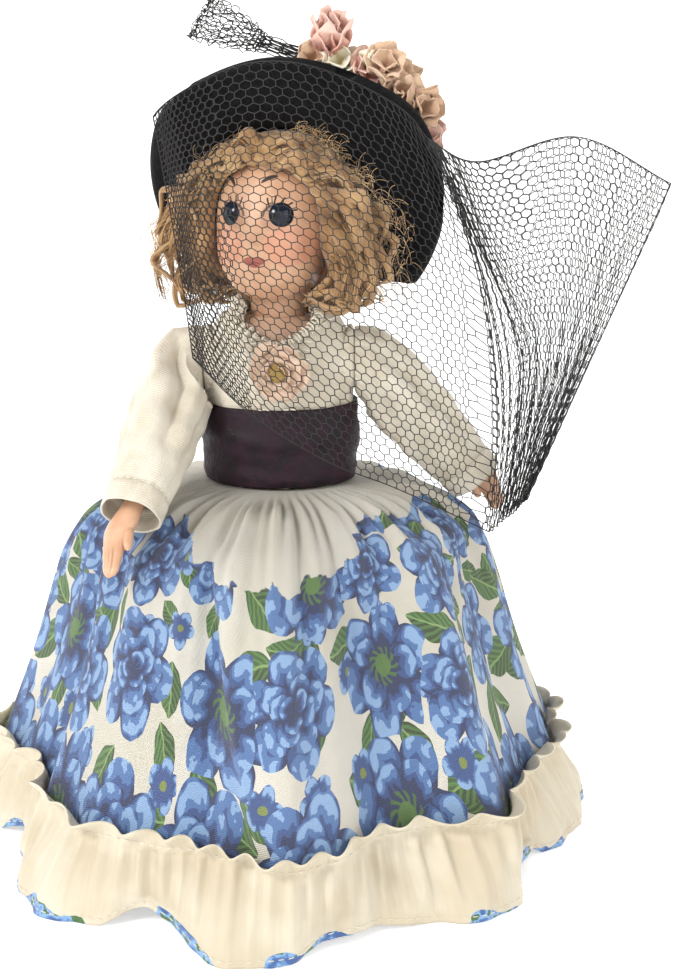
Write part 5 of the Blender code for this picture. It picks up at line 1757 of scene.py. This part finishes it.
def make_armhole(doll, side, sign, place):
    """A narrow gathered band that closes the step from the bodice to the turning sleeve."""
    many = 120
    rows = []
    for j in range(9):
        share = j / 8
        row = []
        for i in range(many):
            turn = math.tau * i / many
            reach = (7.6 + 1.1 * math.sin(math.pi * share) ** 0.7 + 0.5 * share) * MM
            reach += 0.18 * MM * math.cos(30 * turn) * math.sin(math.pi * share)
            y = reach * math.cos(turn)
            root = 18.6 * MM * math.sqrt(1.0 - (y / (14.8 * MM)) ** 2)
            x = between(root - 0.8 * MM, arm_face - 0.25 * MM, share)
            row.append(Vector((sign * x, y, shoulder_rise + reach * math.sin(turn))))
        rows.append(row)
    for reach, beyond in ((7.0, 0.1), (6.9, 1.0)):
        row = []
        for i in range(many):
            turn = math.tau * i / many
            y, z = reach * MM * math.cos(turn), reach * MM * math.sin(turn)
            row.append(Vector((sign * (arm_face + beyond * MM), y, shoulder_rise + z)))
        rows.append(row)
    sheet_piece(f"{doll}_{side}_armhole", moved(place, rows), ribbed_cloth, "body", armhole_uv, flip=sign > 0)


def armhole_uv(row, column):
    return 0.055 * column / 120, 0.004 * row / 8


def make_sash(doll, place):
    """A folded band: its outer face lies in soft, slightly slanting folds."""
    many = 144
    low = 1.6 * MM
    rows = []
    for j in range(44):
        share = j / 43
        row = []
        for i in range(many):
            turn = math.tau * i / many
            slant = share + 0.10 * math.sin(turn + 0.8) + 0.05 * math.sin(3 * turn)
            folds = 0.5 + 0.38 * math.cos(math.tau * 1.7 * slant + 0.9 * math.sin(2 * turn))
            folds += 0.12 * math.cos(math.tau * 4.1 * slant + 1.6 * math.sin(turn))
            ends = math.sin(math.pi * between(0.08, 0.92, share)) ** 0.35
            ease = (2.1 + 2.5 * ends * (0.66 + 0.34 * folds)) * MM
            row.append(body_point(turn, low + 20.5 * MM * share, ease))
        rows.append(row)
    for share in (1.0, 0.66, 0.33, 0.0):
        rows.append([body_point(math.tau * i / many, low + 20.5 * MM * share, 2.1 * MM) for i in range(many)])
    rows.append(rows[0])
    sash = sheet_piece(doll + "_sash_band", moved(place, rows), velvet, "body")
    bm = bmesh.new()
    bm.from_mesh(sash.data)
    bmesh.ops.remove_doubles(bm, verts=bm.verts, dist=0.001 * MM)
    bmesh.ops.recalc_face_normals(bm, faces=bm.faces)
    bm.to_mesh(sash.data)
    bm.free()
    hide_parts(doll + "_sash")


make_blouse("upper", upper)
make_blouse("lower", lower)
make_sash("upper", upper)
make_sash("lower", lower)
make_neck_lace(upper)
for doll, place in (("upper", upper), ("lower", lower)):
    for side, sign in (("left", 1.0), ("right", -1.0)):
        make_armhole(doll, side, sign, place)

# %% [markdown]
# ## Cloth flowers
# Each blossom is a few rounds of starched petals. One petal is a small sheet that narrows to its
# root and curls up towards its tip; rounds of them, each leaning further in, make a blossom.

# %% Petals and the wire


def petal_rows(place, length, width, lean, curl, point, crumple):
    """One petal from its root: it rises by lean, curls by curl, and its tip narrows by point."""
    rows = []
    out = 0.0
    rise = 0.0
    steps = 12
    for j in range(steps + 1):
        share = j / steps
        angle = lean + curl * share
        if j:
            out += math.cos(angle) * length / steps
            rise += math.sin(angle) * length / steps
        wide = width * math.sin(math.pi * min(share**0.75 * 0.94 + 0.06, 1.0) ** point) ** 0.8 + 0.1 * MM
        row = []
        for i in range(9):
            side = i / 8 * 2.0 - 1.0
            cup = 0.22 * wide * side * side + 0.10 * wide * math.cos(3 * side + 9 * share)
            spot = place @ Vector((out, side * wide, rise + cup))
            row.append(spot + noise.noise_vector(spot / (2.4 * MM)) * crumple * share)
        rows.append(row)
    return rows


def make_flower(name, place, rounds, finish, body, seed, wall=0.3 * MM, crumple=1.7 * MM):
    """rounds holds, for each round, its petals, length and width in mm, lean, curl and point."""
    dice = random.Random(seed)
    patches = []
    for k, (many, length, width, lean, curl, point) in enumerate(rounds):
        for i in range(many):
            turn = math.tau * (i + 0.5 * (k % 2) + dice.uniform(-0.09, 0.09)) / many
            size = dice.uniform(0.86, 1.08) * MM
            tilt = lean + dice.uniform(-0.12, 0.12)
            spin = place @ Matrix.Rotation(turn, 4, "Z") @ Matrix.Translation((0, 0, 0.25 * MM * k))
            patches.append(petal_rows(spin, length * size, width * size, tilt, curl, point, crumple))
    return patches_piece(name, patches, finish, body, wall)


def make_bead(name, middle, reach, finish, body, bumps=0.0):
    """A small knotted ball."""
    bm = bmesh.new()
    bmesh.ops.create_uvsphere(bm, u_segments=24, v_segments=16, radius=reach)
    for vert in bm.verts:
        way = vert.co.normalized()
        vert.co *= 1.0 + bumps * noise.noise(way * 2.6)
    bmesh.ops.translate(bm, vec=middle, verts=bm.verts)
    mesh = bpy.data.meshes.new(name)
    bm.to_mesh(mesh)
    bm.free()
    return finished(name, mesh, finish, body)


def brim_place(degrees_round, reach, behind):
    angle = math.radians(degrees_round)
    return sunk(Vector((reach * math.sin(angle), reach * math.cos(angle), -behind)) * MM)


def make_hat_flowers():
    seats = [brim_place(4, 31.0, 0.9)]
    pointed = ((5, 12.0, 4.6, 0.85, 0.65, 1.0), (4, 11.0, 4.2, 1.15, 0.45, 1.0), (3, 8.6, 3.2, 1.4, 0.2, 1.0))
    cupped = ((6, 8.6, 4.6, 0.10, 1.0, 1.25), (5, 7.2, 4.0, 0.5, 1.0, 1.25), (3, 5.2, 3.0, 1.0, 0.6, 1.2))
    small = ((5, 7.0, 3.6, 0.20, 0.8, 1.2), (4, 5.6, 2.9, 0.7, 0.6, 1.2))
    single = ((4, 6.4, 3.0, 0.25, 0.7, 1.1), (3, 5.0, 2.2, 0.8, 0.4, 1.1))
    flowers = (
        ("pink_blossom", 6.2, 15, 0.3, 1.0, pointed, pink_cloth),
        ("ivory_bud", 3.2, 29, 1.6, 1.4, None, ivory_cloth),
        ("cloth_rose", 6.2, 42, -0.3, 1.5, cupped, peach_cloth),
        ("pink_petals", 4.4, 60, -0.9, 1.3, small, peach_cloth),
        ("tan_petal", 4.4, 75, -0.9, 1.3, single, tan_cloth),
    )
    for seed, (node, radius, degrees_round, out, behind, rounds, finish) in enumerate(flowers):
        reach = 38.7 + radius * out
        depth = 2.8 + radius * behind
        turn = Matrix.Rotation(math.radians(-degrees_round), 4, "Z") @ Matrix.Rotation(math.radians(-70), 4, "X")
        place = hat_place @ Matrix.Translation(brim_place(degrees_round, reach, depth)) @ turn
        if rounds:
            flower = make_flower(node + "_cloth", place, rounds, finish, "upper_head", seed)
            make_bead(node + "_heart", place @ Vector((0, 0, 0.8 * MM)), 0.9 * MM, knot_cloth, "upper_head", 0.5)
            under = 1.4
        else:
            folded = ((4, 5.6, 2.2, 1.25, 0.45, 1.5), (3, 5.2, 1.6, 1.4, 0.3, 1.5))
            flower = make_flower(node + "_cloth", place @ Matrix.Translation((0, 0, -3.0 * MM)), folded, finish,
                                 "upper_head", seed)
            leaves = ((4, 3.2, 0.9, 1.0, 0.5, 0.9),)
            under = radius + 0.9
            stand = Matrix.Translation((0, 0, -3.3 * MM))
            make_flower("bud_leaves", place @ stand, leaves, tan_cloth, "upper_head", 9)
        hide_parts(node)
        seats.append(brim_place(degrees_round, reach - under, depth))
    fillers = ((10, 37.0, peach_cloth), (20, 38.0, ivory_cloth), (31, 39.0, pink_cloth), (35, 43.0, peach_cloth),
               (49, 37.0, peach_cloth), (60, 38.5, tan_cloth), (71, 35.0, pink_cloth))
    for seed, (degrees_round, reach, finish) in enumerate(fillers):
        lean = Matrix.Rotation(math.radians(-50 - 7 * seed % 3), 4, "X") @ Matrix.Rotation(0.7 * seed, 4, "Z")
        turn = Matrix.Rotation(math.radians(-degrees_round), 4, "Z") @ lean
        place = hat_place @ Matrix.Translation(brim_place(degrees_round, reach, 8.5)) @ turn
        make_flower(f"crumpled_petals_{seed}", place, small, finish, "upper_head", 50 + seed)
    seats.append(brim_place(88, 31.0, 0.9))
    marks = [(float(k), *point) for k, point in enumerate(seats)]
    line = [hat_place @ Vector(sampled(marks, 6.0 * i / 80)) for i in range(81)]
    wire = web_piece("flower_wire", [line], knot_cloth, "upper_head", threads, Radius=0.42 * MM, Sides=8)
    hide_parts("blossom_wire")


def make_throat_flower():
    rise = 0.72 * torso_height
    stand = body_point(-math.pi / 2, rise, 2.1 * MM).y
    place = upper @ Matrix.Translation((0.0, stand - 0.2 * MM, rise)) @ Matrix.Rotation(math.pi / 2, 4, "X")
    rounds = (
        (6, 9.4, 4.4, 0.12, 0.40, 1.5),
        (6, 8.0, 4.0, 0.32, 0.40, 1.5),
        (5, 6.0, 3.2, 0.60, 0.40, 1.5),
        (4, 4.2, 2.4, 0.95, 0.30, 1.5),
    )
    flower = make_flower("organza_flower", place, rounds, organza, "body", 21, 0.15 * MM, 1.0 * MM)
    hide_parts("throat_flower")
    knot = make_bead("yellow_knot", place @ Vector((0, 0, 3.2 * MM)), 2.2 * MM, knot_cloth, "body", 0.45)
    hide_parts("throat_knot")


make_hat_flowers()
make_throat_flower()

# %% [markdown]
# ## Tulle veil
# Tulle is a net of small six-sided cells. The net is laid out flat as zigzag rows joined by short
# ties, then each knot is moved to its place on the draped veil. Where the cloth is bunched beside
# the face the columns crowd together, and at the tail's edge the cloth is folded back on itself.

# %% Veil drape and net


def near_doll(x, y, z):
    """A place in hat radii sideways and back, and in head heights above the waist."""
    return Vector((x * hat_radius, y * hat_radius, waist + z * 69.0 * MM))


veil_front = (
    # along the brim, then the turn round the brim in quarter turns, the foot's place, the bulge
    (0.00, -0.66, -0.52, -0.80, 0.56, 0.06, -0.30),
    (0.25, -0.30, -0.16, -0.88, 0.37, 0.02, -0.50),
    (0.50, 0.08, 0.32, -0.90, 0.20, 0.05, -0.55),
    (0.75, 0.42, 0.80, -0.76, 0.07, 0.20, -0.45),
    (1.00, 0.75, 1.42, -0.36, -0.155, 0.45, -0.10),
)
veil_tail = (
    # along, then the places of the top edge, the bulge and the foot
    (1.30, 1.34, 0.13, 1.21, 1.75, 0.00, 0.64, 1.50, -0.30, -0.13),
    (1.60, 2.04, 0.39, 1.295, 2.00, 0.15, 0.60, 1.60, -0.22, -0.10),
    (2.00, 2.69, 0.39, 1.12, 2.27, 0.30, 0.54, 1.70, -0.14, -0.06),
)


def front_marks(along):
    turn, foot_x, foot_y, foot_z, out_x, out_y = sampled(veil_front, along)
    around = turn * math.pi / 2
    way = Vector((math.sin(around), math.cos(around), 0.0))
    top = hat_place @ sunk(way * (hat_radius + 1.9 * MM) + Vector((0.0, 0.0, 3.3 * MM)))
    foot = near_doll(foot_x, foot_y, foot_z)
    bulge = (top + foot) / 2 + Vector((out_x, out_y, 0.0)) * hat_radius
    return top, bulge, foot


first_tail = front_marks(1.0)
tail_marks = [(1.0, *first_tail[0], *first_tail[1], *first_tail[2])]
for mark in veil_tail:
    spots = [near_doll(*mark[k : k + 3]) for k in (1, 4, 7)]
    tail_marks.append((mark[0], *spots[0], *spots[1], *spots[2]))


def veil_drape(along, drop):
    """A place on the veil's smooth drape, before its small pleats."""
    if along <= 1.0:
        top, bulge, foot = front_marks(along)
    else:
        found = sampled(tail_marks, along)
        top, bulge, foot = Vector(found[0:3]), Vector(found[3:6]), Vector(found[6:9])
    return top.lerp(bulge, drop).lerp(bulge.lerp(foot, drop), drop)


veil_cloth = (
    # cloth across in mm, along the top, along the foot, the pleats' height and how far behind in mm
    (0.0, 0.26, 0.26, 0.4, 1.8),
    (26.0, 0.02, 0.02, 0.3, 1.4),
    (29.0, 0.00, 0.00, 0.2, 0.6),
    (32.0, 0.02, 0.02, 0.3, 0.0),
    (126.0, 0.96, 0.92, 0.8, 0.0),
    (136.0, 1.01, 1.00, 1.5, 0.0),
    (166.0, 1.09, 1.36, 1.5, 0.0),
    (174.0, 1.13, 1.44, 0.8, 0.0),
    (246.0, 1.985, 1.985, 0.5, 0.0),
    (249.0, 1.999, 1.999, 0.2, 0.6),
    (253.0, 1.97, 1.97, 0.3, 1.6),
    (330.0, 1.12, 1.34, 0.7, 2.6),
)


def veil_knot(across, down):
    """The place of a point of the flat net, in mm of cloth."""
    at_top, at_foot, pleat, behind = sampled(veil_cloth, across)
    drop = min(down / 100.0, 1.0)
    along = between(at_top, at_foot, smooth(drop, 0.15, 0.65))
    place = veil_drape(min(max(along, 0.0), 2.0), drop)
    wave = math.sin(across * 0.62 + 1.4 * math.sin(drop * 3.0)) + 0.5 * math.sin(across * 1.7 + drop * 4.0)
    sag = 0.6 * math.sin(across * 0.11 + drop * 5.0)
    push = (wave * pleat + sag) * smooth(drop, 0.0, 0.12) * (1.0 - 0.3 * drop)
    return place + Vector((0.25 * push, -0.9 * push + behind, 0.1 * push)) * MM


def net_lines(wide, high, pitch, veil_knot=veil_knot):
    """Zigzag rows across the flat net, and the ties that join each row to the next."""
    rise = pitch / math.sqrt(3.0)
    rows = int(high / (1.5 * rise))
    columns = int(wide / (pitch / 2))
    lines = []
    for j in range(rows + 1):
        base = j * 1.5 * rise
        flat = [(i * pitch / 2, base + (0.5 * rise if (i + j) % 2 else 0.0)) for i in range(columns + 1)]
        lines.append([veil_knot(x, y * 100.0 / high) for x, y in flat])
        if j < rows:
            for x, y in flat:
                if y > base:
                    lines.append([veil_knot(x, y * 100.0 / high), veil_knot(x, (base + 1.5 * rise) * 100.0 / high)])
    return lines


def make_veil():
    wide = 330.0
    high = 112.0
    lines = net_lines(wide, high, 2.75)
    lines += [[veil_knot(wide * i / 400, 100.0 * edge) for i in range(401)] for edge in (0.0, 1.0)]
    veil = web_piece("tulle_veil", lines, net, None, threads, Radius=0.152 * MM, Sides=3)
    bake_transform(veil)
    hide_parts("veil")


def torn_end(across, down):
    """The veil's loose end behind the hat: bunched on the crown and frayed out at its tip."""
    share = down / 100.0
    root = Vector((between(29.0, -4.0, smooth(share * 2.5)), 13.0, between(196.0, 207.0, smooth(share * 2.5))))
    tip = Vector((-21.0, 24.0, 214.0))
    middle = root.lerp(tip, smooth(share, 0.35, 1.0))
    spread = between(0.06, 0.22, smooth(share, 0.25, 0.95))
    frayed = Vector((noise.noise((across, down, 1.0)), 0.0, noise.noise((across, down, 5.0)))) * 1.6 * share
    aside = Vector((0.50, 0.2, 0.84)) * (across - 30.0) * spread
    return (middle + aside + frayed + Vector((0.3, 1.2, 0.6)) * math.sin(across * 0.9 + down * 0.07)) * MM


def make_torn_end():
    lines = net_lines(60.0, 56.0, 2.75, torn_end)
    end = web_piece("tulle_end", lines, net, "upper_head", threads, Radius=0.15 * MM, Sides=3)


make_veil()
make_torn_end()

# %% [markdown]
# ## Cap of the lower doll
# The doll stands on this cap, so its top is pressed flat. It is a plain gathered mob cap with a
# small frill.

# %% Cap


def make_cap():
    many = 144
    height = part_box("lower_cap")[0].z
    crown = (waist - height) - neck_rise
    rows = [[Vector((0.0, 0.0, crown))]]
    for j in range(1, 40):
        degrees = between(4.0, 80.0, j / 39)
        row = []
        for i in range(many):
            turn = math.tau * i / many
            way = way_down(math.radians(degrees), turn)
            flare = 2.0 * MM * smooth(degrees, 60.0, 80.0) * (1.0 + 0.35 * math.cos(30 * turn))
            gathers = 0.3 * MM * math.cos(36 * turn) * smooth(degrees, 25.0, 60.0)
            point = head_middle + way * (short_hair(way) + 1.7 * MM + flare + gathers)
            point.z = min(point.z, crown)
            row.append(point)
        rows.append(row)

    def uv(row, column):
        return 0.15 * column / many, 0.04 * row / 39

    cap = sheet_piece("lower_mob_cap", moved(lower_neck, rows), satin, "lower_head", uv, wall=0.6 * MM)
    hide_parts("lower_cap")


make_cap()

# %% [markdown]
# ## Metal, elastic and wood
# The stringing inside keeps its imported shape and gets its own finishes: brushed steel wire, woven
# elastic, dull lead and turned wood.

# %% Finishes of the inner parts


def make_worn(name, deep, pale, scale, rough, metallic=0.0):
    finish = Finish(name, Metallic=metallic)
    wear = finish.noise(finish.at(), scale, 4.0, 0.6)
    finish.feed(Base_Color=finish.mix(wear.ramp(0.3, 0.7), deep, pale))
    finish.feed(Roughness=wear.ramp(0.3, 0.7, rough[0], rough[1]))
    return finish.bump(wear, 0.08 * MM, 0.5)


inner_looks = (
    (make_worn("steel_wire_worn", (0.20, 0.19, 0.18), (0.52, 0.51, 0.50), 900.0, (0.28, 0.5), 1.0), "hook washer"),
    (make_worn("lead_worn", (0.10, 0.10, 0.11), (0.24, 0.24, 0.25), 600.0, (0.45, 0.7), 1.0), "rocker"),
    (make_worn("elastic_worn", (0.42, 0.34, 0.22), (0.70, 0.62, 0.46), 2200.0, (0.7, 0.9)), "band"),
    (make_worn("plug_wood_worn", (0.30, 0.18, 0.09), (0.52, 0.35, 0.19), 420.0, (0.5, 0.75)), "plug"),
    (make_worn("torso_plastic_worn", (0.48, 0.30, 0.20), (0.58, 0.38, 0.26), 200.0, (0.35, 0.5)), "torso"),
)
for name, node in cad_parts.items():
    for finish, words in inner_looks:
        if any(name.endswith(word) for word in words.split()):
            for slot in node.material_slots:
                slot.material = finish.material
